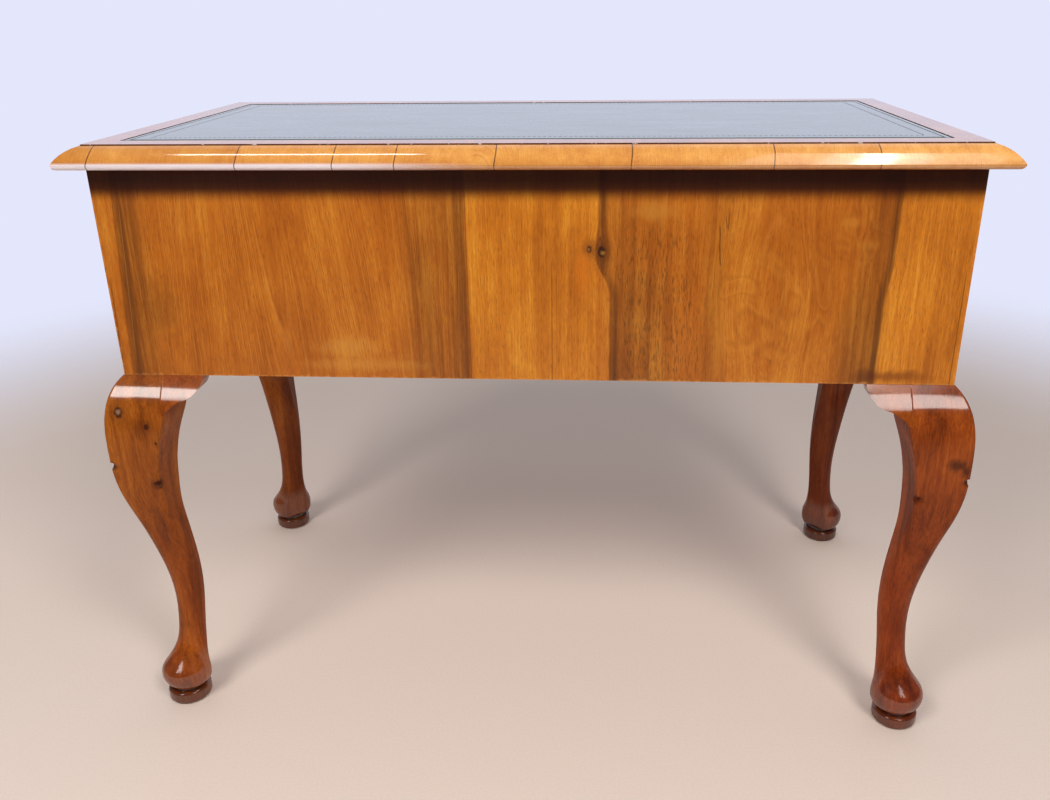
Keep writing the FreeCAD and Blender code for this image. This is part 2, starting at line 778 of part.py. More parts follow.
def handle_mounts(name, x, z):
    """Two turned posts with rosettes in front of the drawer and nuts behind its front."""
    at = (f"{x} - pivot_half", "case_front", z)
    inner_end = "front_thickness + nut_thickness + shank_end"
    collar = "-rosette_thickness - post_collar_height"
    stem = turned(name + "_stem", at, "XY_Plane", [
        ("0", "-post_stand"),
        ("post_neck_radius", "-post_stand"),
        ("post_neck_radius", collar),
        ("post_collar_radius", collar),
        ("post_collar_radius", "-rosette_thickness"),
        ("post_shank_radius", "-rosette_thickness"),
        ("post_shank_radius", inner_end),
        ("0", inner_end),
    ])
    head = add("Part::Sphere", name + "_head")
    head.setExpression("Radius", bound("post_head_radius"))
    place(head, (at[0], "case_front - post_stand", z))
    bore = add("Part::Cylinder", name + "_bore")
    bore.Placement = FreeCAD.Placement(Vector(), FreeCAD.Rotation(SPINE_Y, 90))
    bore.setExpression("Radius", bound("bore_radius"))
    bore.setExpression("Height", bound("2 * post_head_radius + 2 * overrun"))
    place(bore, (f"{at[0]} - post_head_radius - overrun", "case_front - post_stand", z))
    post = boolean("Cut", name + "_post", boolean("Fuse", name + "_turned", stem, head), bore)
    rosette = turned(name + "_rosette", at, "XY_Plane", [
        ("post_shank_radius", "-rosette_thickness"),
        ("post_collar_radius", "-rosette_thickness"),
        ("rosette_radius", "-rosette_rim", "-rosette_hollow"),
        ("rosette_radius", "0"),
        ("post_shank_radius", "0"),
    ])
    nut_blank = add("Part::Prism", name + "_nut_blank")
    nut_blank.Placement = FreeCAD.Placement(Vector(), FreeCAD.Rotation(SPINE_X, -90))
    nut_blank.Polygon = 4
    nut_blank.setExpression("Circumradius", bound("nut_radius"))
    nut_blank.setExpression("Height", bound("nut_thickness"))
    place(nut_blank, (at[0], "case_front + front_thickness", z))
    nut = boolean("Cut", name + "_nut", nut_blank, stem)
    posts = group(name + "_posts", [post, mirror(name + "_post_twin", post, SPINE_X, x)])
    trim = group(name + "_trim", [rosette, nut])
    trims = group(name + "_trims", [trim, mirror(name + "_trim_twin", trim, SPINE_X, x)])
    return posts, trims


def bail(label, x, z):
    """Swinging loop of a handle, bent from rod, with a thicker grip."""
    body = new_body(label, (x, "case_front - post_stand", z))
    pin_end = "(pivot_half + pin_reach)"
    shoulder = "(pivot_half - bail_shoulder)"
    arm = f"({shoulder} - bail_bend)"
    grip = f"({arm} - bail_corner)"
    bend = f"-bail_bend * {QUARTER_SHARE}"
    corner = f"bail_corner * {QUARTER_SHARE}"
    path = sketch_on(body, "XZ_Plane")
    draw(path, [
        (f"-{pin_end}", "0"),
        (f"-{shoulder}", "0"),
        (f"-{arm}", "-bail_bend", bend),
        (f"-{arm}", "-bail_drop + bail_corner"),
        (f"-{grip}", "-bail_drop", corner),
        (grip, "-bail_drop"),
        (arm, "-bail_drop + bail_corner", corner),
        (arm, "-bail_bend"),
        (shoulder, "0", bend),
        (pin_end, "0"),
    ], closed=False)
    rod = sketch_on(body, "YZ_Plane", ("0", "0", f"-{pin_end}"))
    draw_circle(rod, "0", "0", "pin_radius")
    pipe = body.newObject("PartDesign::AdditivePipe", label + "_rod")
    pipe.Profile = rod
    pipe.Spine = path
    swell = sketch_on(body, "XZ_Plane", ("0", "-bail_drop", "0"))
    draw(swell, [
        (f"-{grip}", "0"),
        (grip, "0"),
        (grip, f"{GRIP_END_SHARE} * pin_radius"),
        (f"-{grip}", f"{GRIP_END_SHARE} * pin_radius", "grip_swell"),
    ])
    revolve(body, swell, "H_Axis")
    return body


def build_drawer(name, left, floor, width, height, handles):
    """One dovetailed drawer and its handles; returns the labels of its pieces."""
    low = f"{floor} + drawer_play"
    outer_left = f"{left} + drawer_gap"
    outer_width = f"({width} - 2 * drawer_gap)"
    front_height = f"({height} - drawer_play - drawer_gap)"
    side_height = f"({front_height} - side_drop)"
    middle = f"({left} + {width} / 2)"
    bottom_low = f"{low} + drawer_bottom_rise"
    bottom_top = "drawer_bottom_rise + drawer_bottom_thickness"
    bottom = board(name + "_bottom",
                   (f"{outer_left} + side_thickness - groove_depth",
                    "case_front + front_thickness - groove_depth", bottom_low),
                   (f"{outer_width} - 2 * side_thickness + 2 * groove_depth",
                    "drawer_depth - front_thickness + groove_depth", "drawer_bottom_thickness"))
    left_side = drawer_side(name + "_side", (outer_left, "case_front + dovetail_lap", low), side_height)
    grooved = boolean("Cut", name + "_grooved_side", left_side, bottom)
    sides = group(name + "_sides", [grooved, mirror(name + "_side_twin", grooved, SPINE_X, middle)])
    back_blank = board(name + "_back_blank",
                       (outer_left, "case_front + drawer_depth - drawer_back_thickness",
                        f"{low} + {bottom_top}"),
                       (outer_width, "drawer_back_thickness", f"{side_height} - ({bottom_top})"))
    front_blank = board(name + "_front_blank", (outer_left, "case_front", low),
                        (outer_width, "front_thickness", front_height))
    socketed = boolean("Cut", name + "_front_socketed", front_blank, sides)
    grooved_front = boolean("Cut", name + "_front_grooved", socketed, bottom)
    pivot_height = f"{low} + {front_height} / 2 + handle_raise"
    posts, trims = [], []
    for index, x in enumerate(handles):
        handle_posts, handle_trims = handle_mounts(f"{name}_{index}", x, pivot_height)
        posts.append(handle_posts)
        trims.append(handle_trims)
    all_posts = group(name + "_posts", posts)
    pieces = {
        "front": boolean("Cut", name + "_front", grooved_front, all_posts),
        "sides": sides,
        "back": boolean("Cut", name + "_back", back_blank, sides),
        "bottom": bottom,
        "handle_mounts": group(name + "_handle_mounts", [all_posts] + trims),
    }
    for piece, thing in pieces.items():
        keep(f"{name}_{piece}", thing)
    return pivot_height


def build_drawers():
    """Two drawers in each pedestal and a wide one over the kneehole."""
    pedestal_left = "case_left + board_thickness"
    pedestal_middle = f"({pedestal_left} + pedestal_inner / 2)"
    for level in ("upper", "lower"):
        name = f"{level}_left_drawer"
        pivot = build_drawer(name, pedestal_left, level + "_floor", "pedestal_inner",
                             level + "_opening", [pedestal_middle])
        keep(name + "_bail", bail(name + "_bail", pedestal_middle, pivot))
        for piece in DRAWER_PIECES:
            twin = f"{level}_right_drawer_{piece}"
            keep(twin, mirror(twin, parts[f"{name}_{piece}"], SPINE_X))
    handle_left = "(kneehole_left + handle_inset)"
    handle_right = f"-{handle_left}"
    pivot = build_drawer("centre_drawer", "kneehole_left", "upper_floor", "kneehole_width",
                         "upper_opening", [handle_left, handle_right])
    for side, x in (("left", handle_left), ("right", handle_right)):
        label = f"centre_drawer_{side}_bail"
        keep(label, bail(label, x, pivot))


def build_stops():
    """Small blocks on the rails and pedestal bottoms that the drawer fronts stop at."""
    openings = (
        ("case_left + board_thickness", "pedestal_inner", "upper_floor"),
        ("case_left + board_thickness", "pedestal_inner", "lower_floor"),
        ("-case_left - pedestal_width + board_thickness", "pedestal_inner", "upper_floor"),
        ("-case_left - pedestal_width + board_thickness", "pedestal_inner", "lower_floor"),
        ("kneehole_left", "kneehole_width", "upper_floor"),
    )
    stops = [
        board("stop", (f"{left} + {share} * {width} - stop_width / 2",
                       "case_front + front_thickness + drawer_play", floor),
              ("stop_width", "stop_depth", "stop_height"))
        for left, width, floor in openings for share in STOP_SHARES]
    keep("drawer_stops", group("drawer_stops", stops))


def check():
    """Stop when anything in the document failed or a piece is no valid solid."""
    for thing in doc.Objects:
        if {"Invalid", "Error"} & set(thing.State):
            raise RuntimeError(f"{thing.Label} failed: {thing.State}")
    for label, thing in parts.items():
        if thing.Shape.isNull() or not thing.Shape.isValid() or not thing.Shape.Solids:
            raise RuntimeError(f"{label} is no valid solid")


def export():
    """Write every piece to a file of its own."""
    os.makedirs("parts", exist_ok=True)
    for label, thing in parts.items():
        thing.Shape.exportStep(f"parts/{label}.step")


write_sheets()
build_top()
pedestal_board = build_case()
build_runners()
build_glue_blocks()
build_legs(pedestal_board)
build_drawers()
build_stops()
doc.recompute()
check()
export()
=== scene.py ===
import json
import math

import bmesh
import bpy
from mathutils import Matrix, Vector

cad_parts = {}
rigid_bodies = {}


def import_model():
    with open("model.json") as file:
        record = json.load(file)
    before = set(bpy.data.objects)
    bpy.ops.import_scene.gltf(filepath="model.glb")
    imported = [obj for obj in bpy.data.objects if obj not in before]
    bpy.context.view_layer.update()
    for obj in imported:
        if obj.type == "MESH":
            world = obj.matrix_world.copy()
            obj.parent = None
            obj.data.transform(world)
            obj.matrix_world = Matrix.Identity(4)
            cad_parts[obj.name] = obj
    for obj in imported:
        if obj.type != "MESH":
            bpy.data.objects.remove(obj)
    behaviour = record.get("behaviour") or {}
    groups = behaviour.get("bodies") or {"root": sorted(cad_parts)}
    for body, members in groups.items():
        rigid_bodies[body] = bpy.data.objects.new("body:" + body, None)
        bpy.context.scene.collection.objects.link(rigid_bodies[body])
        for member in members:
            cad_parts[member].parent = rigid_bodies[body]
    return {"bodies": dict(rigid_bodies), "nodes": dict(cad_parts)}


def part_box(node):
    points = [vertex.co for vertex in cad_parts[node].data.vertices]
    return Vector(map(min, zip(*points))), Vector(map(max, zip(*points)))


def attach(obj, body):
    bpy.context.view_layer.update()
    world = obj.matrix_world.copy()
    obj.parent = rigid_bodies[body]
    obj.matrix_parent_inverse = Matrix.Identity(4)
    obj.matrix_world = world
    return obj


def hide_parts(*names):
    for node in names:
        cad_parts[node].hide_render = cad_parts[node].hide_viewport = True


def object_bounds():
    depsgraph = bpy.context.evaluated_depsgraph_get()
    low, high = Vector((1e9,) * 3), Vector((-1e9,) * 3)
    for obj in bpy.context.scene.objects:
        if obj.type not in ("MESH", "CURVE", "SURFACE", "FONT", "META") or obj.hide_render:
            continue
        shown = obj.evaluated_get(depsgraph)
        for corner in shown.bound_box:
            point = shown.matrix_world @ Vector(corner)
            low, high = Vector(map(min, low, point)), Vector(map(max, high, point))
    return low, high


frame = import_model()
solid_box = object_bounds()

CAMERA_PLACE = (-0.0886, 1.3011, 0.9148)
CAMERA_HEADING = math.pi + 0.0692
CAMERA_DIP = 0.3807
CAMERA_ROLL = -0.0125
CAMERA_LENS = 32.222
SENSOR_WIDTH = 36.0
CAMERA_SHIFT = (-0.01478, -0.01730)

DRAWERS = (
    "centre_drawer", "upper_left_drawer", "lower_left_drawer",
    "upper_right_drawer", "lower_right_drawer",
)
BAILS = [name for name in frame["bodies"] if name.endswith("_bail")]
QUARTER_TURN = math.pi / 2
GRAIN_TURNS = {
    "Z": (0.0, 0.0, 0.0),
    "X": (0.0, -QUARTER_TURN, 0.0),
    "Y": (QUARTER_TURN, 0.0, 0.0),
    "side Z": (0.0, 0.0, QUARTER_TURN),
}
# A lamp's name, place, tilt in degrees, width and height, and power; gleams show only in polish.
LAMPS = (
    ("Left_lamp", (1.15, 1.95, 2.45), (-49, 0, -32), (1.1, 1.0), 44.0),
    ("Right_lamp", (-1.05, 1.90, 2.45), (-48, 0, 30), (0.8, 1.1), 40.0),
)
RIGHT_GLEAM_PLACE = (-0.755, 0.62, 2.06)
RIGHT_GLEAM_TILT = (-45, 0, -14)
GLEAMS = (
    ("Strip_gleam", (0.80, 0.15, 2.46), (0, 0, 0), (0.72, 0.10), 2.5),
    ("Right_core_gleam", RIGHT_GLEAM_PLACE, RIGHT_GLEAM_TILT, (0.09, 1.3), 3.7),
    ("Right_glow_gleam", RIGHT_GLEAM_PLACE, RIGHT_GLEAM_TILT, (0.26, 1.3), 3.0),
    ("Right_halo_gleam", RIGHT_GLEAM_PLACE, RIGHT_GLEAM_TILT, (0.62, 1.3), 2.5),
    ("Left_knee_gleam", (1.42, 1.95, 1.55), (-70, 0, -33), (0.60, 0.80), 8.4),
    ("Right_knee_gleam", (-1.12, 1.95, 1.75), (-65, 0, 28), (0.55, 1.10), 7.4),
)
LAMP_COLOUR = (1.0, 0.97, 0.93)
FILL_COLOUR = (0.93, 0.94, 1.0, 1.0)
ROOM_COLOUR = (228, 231, 252)
FLOOR_RADIUS = 2.6
FLOOR_FADE = (1.2, 2.4)

ORIGIN = (0.0, 0.0, 0.0)
FLOAT, VECTOR = "NodeSocketFloat", "NodeSocketVector"
# Colours are as seen on screen. A pair of lengths is where a zone begins and where it is full.
PANEL_TONES = ((154, 79, 16), (186, 104, 26), (212, 136, 43))
PANEL_COAT = 0.15
HARD_GLOSS = 2.0
# Painted shadow under the overhang: how far below the panel's top it begins, and where it is full.
OVERHANG_SHADOW_EDGES = (0.0415, 0.0225)
BAND_WIDTH, FEATHER_WIDTH, FEATHER_PITCH = 0.015, 0.006, 2600.0
VENEER_EDGE = (0.0012, 0.0016)
MOULDING_SHADE = (0.764, 0.750)
# Painted shade line at the moulding's top edge: the heights where it begins and where it is full.
MOULDING_RIM_SHADE = (0.7731, 0.7736)
# Painted reflection on the back moulding's lower nose: the heights where it begins and is full, and its run
# along X.
NOSE_REFLECTION_BAND, NOSE_REFLECTION_RUN = (0.7585, 0.7540), (0.02, 0.24)
KNEE_CUTS = ((0.4695, 0.2730, 0.3540), (0.5280, 0.2145, 0.3540), (0.5295, 0.2745, 0.3800))
KNEE_TOP, SHANK_FADE, FOOT_TOP = (0.464, 0.474), (0.42, 0.16), (0.09, 0.06)
SOLE_EDGE, GROOVE_FOOT, GROOVE_HEAD = (0.0215, 0.0185), (0.0185, 0.0200), (0.0275, 0.0250)


def tone(red, green, blue):
    """A colour as it looks on screen, turned to the linear values that a shader takes."""
    levels = [level / 255 for level in (red, green, blue)]
    linear = [s / 12.92 if s <= 0.04045 else ((s + 0.055) / 1.055) ** 2.4 for s in levels]
    return (*linear, 1.0)


def give(tree, socket, value):
    if isinstance(value, bpy.types.NodeSocket):
        tree.links.new(value, socket)
    else:
        socket.default_value = value


def add(tree, kind, inputs=None, **settings):
    made = tree.nodes.new(kind)
    for name, setting in settings.items():
        setattr(made, name, setting)
    for key, value in (inputs or {}).items():
        give(tree, made.inputs[key], value)
    return made


def maths(tree, operation, *values, clamp=False):
    made = add(tree, "ShaderNodeMath", dict(enumerate(values)), operation=operation, use_clamp=clamp)
    return made.outputs[0]


def times(tree, first, second, clamp=False):
    return maths(tree, "MULTIPLY", first, second, clamp=clamp)


def plus(tree, first, second):
    return maths(tree, "ADD", first, second)


def minus(tree, first, second):
    return maths(tree, "SUBTRACT", first, second)


def times_plus(tree, first, second, third, clamp=False):
    """First times second, plus third."""
    return maths(tree, "MULTIPLY_ADD", first, second, third, clamp=clamp)


def unsigned(tree, value):
    return maths(tree, "ABSOLUTE", value)


def vectors(tree, operation, *values):
    made = add(tree, "ShaderNodeVectorMath", dict(enumerate(values)), operation=operation)
    return made.outputs["Value" if operation == "LENGTH" else "Vector"]


def scaled(tree, vector, factor):
    made = add(tree, "ShaderNodeVectorMath", {0: vector, "Scale": factor}, operation="SCALE")
    return made.outputs["Vector"]


def split(tree, vector):
    return add(tree, "ShaderNodeSeparateXYZ", {"Vector": vector}).outputs


def joined(tree, x, y, z):
    return add(tree, "ShaderNodeCombineXYZ", {"X": x, "Y": y, "Z": z}).outputs["Vector"]


def mix(tree, share, first, second, blend="MIX"):
    made = add(tree, "ShaderNodeMix", {0: share, 6: first, 7: second}, data_type="RGBA", blend_type=blend)
    return made.outputs[2]


def pick(tree, share, first, second):
    made = add(tree, "ShaderNodeMix", {0: share, 4: first, 5: second}, data_type="VECTOR")
    return made.outputs[1]


def span(tree, value, low, high, start=0.0, end=1.0):
    """Eases from start to end while value goes from low to high."""
    ends = {"Value": value, "From Min": low, "From Max": high, "To Min": start, "To Max": end}
    return add(tree, "ShaderNodeMapRange", ends, interpolation_type="SMOOTHSTEP").outputs["Result"]


def fall(tree, value, low, high):
    """Eases from one to nothing while value goes from low to high."""
    return span(tree, value, low, high, 1.0, 0.0)


def ridge(tree, value, middle, width):
    """One where value meets the middle, nothing a width away from it."""
    return fall(tree, unsigned(tree, minus(tree, value, middle)), 0.0, width)


def noise(tree, vector, stretch, detail=2.0, rough=0.5, bend=0.0):
    """Noise from nothing to one; stretch is one number, or one for each axis."""
    stretch = stretch if isinstance(stretch, tuple) else (stretch,) * 3
    place = vectors(tree, "MULTIPLY", vector, stretch)
    looks = {"Vector": place, "Scale": 1.0, "Detail": detail, "Roughness": rough, "Distortion": bend}
    return add(tree, "ShaderNodeTexNoise", looks).outputs[0]


def ramp(tree, value, stops):
    made = add(tree, "ShaderNodeValToRGB", {"Fac": value})
    band = made.color_ramp
    band.elements.remove(band.elements[1])
    band.elements[0].position, band.elements[0].color = stops[0]
    for place, colour in stops[1:]:
        band.elements.new(place).color = colour
    return made.outputs["Color"]


def new_group(name, inputs, outputs):
    """An empty shader group: inputs with their defaults, and outputs, of which only Grain is a vector."""
    group = bpy.data.node_groups.new(name, "ShaderNodeTree")
    for label, default in inputs.items():
        kind = VECTOR if isinstance(default, tuple) else FLOAT
        group.interface.new_socket(label, in_out="INPUT", socket_type=kind).default_value = default
    for label in outputs:
        kind = VECTOR if label == "Grain" else FLOAT
        group.interface.new_socket(label, in_out="OUTPUT", socket_type=kind)
    return group, group.nodes.new("NodeGroupInput").outputs, group.nodes.new("NodeGroupOutput").inputs


def use(tree, group, values):
    made = tree.nodes.new("ShaderNodeGroup")
    made.node_tree = group
    for label, value in values.items():
        give(tree, made.inputs[label], value)
    return made.outputs


def wood_fibre_group():
    """Fine fibre, broad streaks, short dashes, open pores and cloudy figure, with the grain along Z."""
    names = ("Fibre", "Streak", "Dash", "Pore", "Cloud")
    group, take, put = new_group("Wood fibre", {"Grain": ORIGIN, "Coarse": 1.0}, names)
    grain = scaled(group, take["Grain"], take["Coarse"])
    give(group, put["Fibre"], noise(group, grain, (560.0, 560.0, 14.0), 3.0, 0.65))
    give(group, put["Streak"], noise(group, grain, (80.0, 80.0, 2.2), 5.0, 0.62, 0.2))
    give(group, put["Dash"], noise(group, grain, (640.0, 640.0, 85.0), 2.0, 0.55))
    pores = noise(group, grain, (900.0, 900.0, 120.0), 1.0, 0.4)
    give(group, put["Pore"], span(group, pores, 0.58, 0.72))
    give(group, put["Cloud"], noise(group, grain, (13.0, 13.0, 7.0), 4.0, 0.55, 0.4))
    return group


def growth_rings_group():
    """Annual rings of a log whose heart runs along Z and leans to the cut, which makes pointed tongues."""
    inputs = {"Grain": ORIGIN, "Heart": ORIGIN, "Depth": 0.05, "Lean": 0.1, "Spacing": 0.006}
    group, take, put = new_group("Growth rings", inputs, ("Dark", "Light"))
    x, _, z = split(group, vectors(group, "SUBTRACT", take["Grain"], take["Heart"]))
    depth = times_plus(group, z, take["Lean"], take["Depth"])
    squares = plus(group, times(group, x, x), times(group, depth, depth))
    wander = noise(group, take["Grain"], (24.0, 24.0, 6.0), 3.0, 0.5)
    free = span(group, unsigned(group, x), 0.01, 0.09, 0.3, 3.2)
    count = maths(group, "DIVIDE", maths(group, "SQRT", squares), take["Spacing"])
    part = maths(group, "FRACT", times_plus(group, wander, free, count))
    faint = span(group, noise(group, take["Grain"], (40.0, 40.0, 8.0), 2.0), 0.36, 0.60)
    give(group, put["Dark"], times(group, ridge(group, part, 0.5, 0.11), faint))
    give(group, put["Light"], times(group, ridge(group, part, 0.70, 0.17), faint))
    return group


def streak_group():
    """One streak along Z: its place at a level, its lean, step and wave, and how soft its sides are."""
    inputs = {"Grain": ORIGIN, "Place": 0.0, "Level": 0.62, "Lean": 0.0}
    inputs.update({"Step": 0.0, "Step level": 0.62, "Step run": 0.05, "Wave": 0.0})
    inputs.update({"Width": 0.01, "Soft high": 0.01, "Soft low": 0.01})
    inputs.update({"Bottom": -1.0, "Top": 1.0, "Fade": 0.03})
    group, take, put = new_group("Dark streak", inputs, ("Mask",))
    x, _, z = split(group, take["Grain"])
    rise = minus(group, z, take["Level"])
    ripple = times_plus(group, z, 14.0, times(group, take["Place"], 40.0))
    looks = {"W": ripple, "Scale": 1.0, "Detail": 3.0}
    ripple = add(group, "ShaderNodeTexNoise", looks, noise_dimensions="1D").outputs[0]
    swing = times(group, minus(group, ripple, 0.5), take["Wave"])
    begin = plus(group, take["Step level"], take["Step run"])
    stop = minus(group, take["Step level"], take["Step run"])
    shift = times(group, span(group, z, begin, stop), take["Step"])
    middle = plus(group, times_plus(group, rise, take["Lean"], take["Place"]), swing)
    aside = minus(group, x, plus(group, middle, shift))
    half = times(group, take["Width"], 0.5)
    high = fall(group, aside, half, plus(group, half, take["Soft high"]))
    below = times(group, half, -1.0)
    low = span(group, aside, minus(group, below, take["Soft low"]), below)
    foot = span(group, z, minus(group, take["Bottom"], take["Fade"]), take["Bottom"])
    head = fall(group, z, take["Top"], plus(group, take["Top"], take["Fade"]))
    give(group, put["Mask"], times(group, times(group, high, low), times(group, foot, head)))
    return group


def knot_group():
    """A knot in an upright face: the grain bends round it, with a ragged dark eye and a soft halo."""
    inputs = {"Grain": ORIGIN, "Centre": ORIGIN, "Reach": 0.03, "Core": 0.004, "Pull": 0.7}
    group, take, put = new_group("Knot", inputs, ("Grain", "Eye", "Halo"))
    offset = vectors(group, "SUBTRACT", take["Grain"], take["Centre"])
    flat = vectors(group, "MULTIPLY", offset, (1.0, 0.0, 0.7))
    away = vectors(group, "LENGTH", flat)
    pull = span(group, away, 0.0, take["Reach"], take["Pull"], 0.0)
    give(group, put["Grain"], vectors(group, "SUBTRACT", take["Grain"], scaled(group, flat, pull)))
    ragged = noise(group, take["Grain"], 330.0, 3.0, 0.6)
    uneven = times(group, away, times_plus(group, ragged, 1.1, 0.45))
    half = times(group, take["Core"], 0.6)
    give(group, put["Eye"], fall(group, uneven, half, take["Core"]))
    give(group, put["Halo"], fall(group, uneven, half, times(group, take["Core"], 3.2)))
    return group


def edge_wear_and_shade_group():
    """A ragged band along the edges of a box, used for wear and for painted shade: the mask is full on the
    edge and gone a width away from it.
    """
    inputs = {"Place": ORIGIN, "Low": ORIGIN, "High": (1.0, 1.0, 1.0), "Width": 0.004}
    group, take, put = new_group("Edge wear and shade", inputs, ("Mask",))
    from_low = vectors(group, "SUBTRACT", take["Place"], take["Low"])
    from_high = vectors(group, "SUBTRACT", take["High"], take["Place"])
    x, y, z = split(group, vectors(group, "MINIMUM", from_low, from_high))
    larger = maths(group, "MINIMUM", maths(group, "MAXIMUM", x, y), z)
    middle = maths(group, "MAXIMUM", maths(group, "MINIMUM", x, y), larger)
    ragged = minus(group, noise(group, take["Place"], 120.0, 4.0, 0.7), 0.42)
    worn = times_plus(group, ragged, times(group, take["Width"], 4.0), middle)
    give(group, put["Mask"], fall(group, worn, 0.0, take["Width"]))
    return group


def french_polish_group():
    """Roughness and relief of hand-polished wood: smears, filled pores and a slight ripple."""
    inputs = {"Place": ORIGIN, "Fibre": 0.5, "Pore": 0.0}
    group, take, put = new_group("French polish", inputs, ("Roughness", "Height"))
    smear = noise(group, take["Place"], (7.0, 7.0, 11.0), 4.0, 0.6)
    dull = times_plus(group, smear, 0.24, 0.26)
    give(group, put["Roughness"], times_plus(group, take["Pore"], 0.18, dull, clamp=True))
    ripple = noise(group, take["Place"], (110.0, 110.0, 50.0), 2.0, 0.5)
    relief = times_plus(group, take["Fibre"], 0.30, times(group, ripple, 0.5))
    give(group, put["Height"], times_plus(group, take["Pore"], -0.5, relief))
    return group


def banding_group():
    """Crossbanding and a feather band inside it round a rectangle: masks, dark line, slant and grain."""
    inputs = {"Across": 0.0, "Up": 0.0, "Half width": 0.1, "Half height": 0.1}
    inputs.update({"Band": 0.014, "Feather": 0.006})
    group, take, put = new_group("Crossbanding", inputs, ("Band", "Feather", "Line", "Slant", "Grain"))
    from_side = minus(group, take["Half width"], unsigned(group, take["Across"]))
    from_end = minus(group, take["Half height"], unsigned(group, take["Up"]))
    near = maths(group, "MINIMUM", from_side, from_end)
    inner = plus(group, take["Band"], take["Feather"])
    band = maths(group, "LESS_THAN", near, take["Band"])
    give(group, put["Band"], band)
    give(group, put["Feather"], minus(group, maths(group, "LESS_THAN", near, inner), band))
    first = unsigned(group, minus(group, near, take["Band"]))
    second = unsigned(group, minus(group, near, inner))
    line = maths(group, "MINIMUM", first, second)
    give(group, put["Line"], fall(group, line, 0.0002, 0.0007))
    along_side = maths(group, "LESS_THAN", from_side, from_end)
    upright = joined(group, take["Up"], 0.0, take["Across"])
    level = joined(group, take["Across"], 0.3, take["Up"])
    give(group, put["Grain"], pick(group, along_side, level, upright))
    ends = {0: along_side, 2: take["Across"], 3: take["Up"]}
    run = add(group, "ShaderNodeMix", ends, data_type="FLOAT").outputs[0]
    spine = times_plus(group, take["Feather"], 0.5, take["Band"])
    give(group, put["Slant"], plus(group, run, unsigned(group, minus(group, near, spine))))
    return group


def tarnish_group():
    """Brown tarnish that gathers in cloudy patches on handled metal."""
    names = ("Mask", "Roughness", "Height")
    group, take, put = new_group("Tarnish", {"Place": ORIGIN, "Amount": 0.5}, names)
    cloud = noise(group, take["Place"], 130.0, 5.0, 0.62)
    speck = noise(group, take["Place"], 900.0, 2.0, 0.5)
    level = times_plus(group, speck, 0.25, cloud)
    mask = times(group, span(group, level, 0.48, 0.82), take["Amount"])
    give(group, put["Mask"], mask)
    give(group, put["Roughness"], times_plus(group, mask, 0.3, 0.24))
    give(group, put["Height"], times_plus(group, speck, 0.3, cloud))
    return group


WOOD_FIBRE = wood_fibre_group()
GROWTH_RINGS = growth_rings_group()
DARK_STREAK = streak_group()
KNOT = knot_group()
EDGE_WEAR_AND_SHADE = edge_wear_and_shade_group()
FRENCH_POLISH = french_polish_group()
CROSSBANDING = banding_group()
TARNISH = tarnish_group()


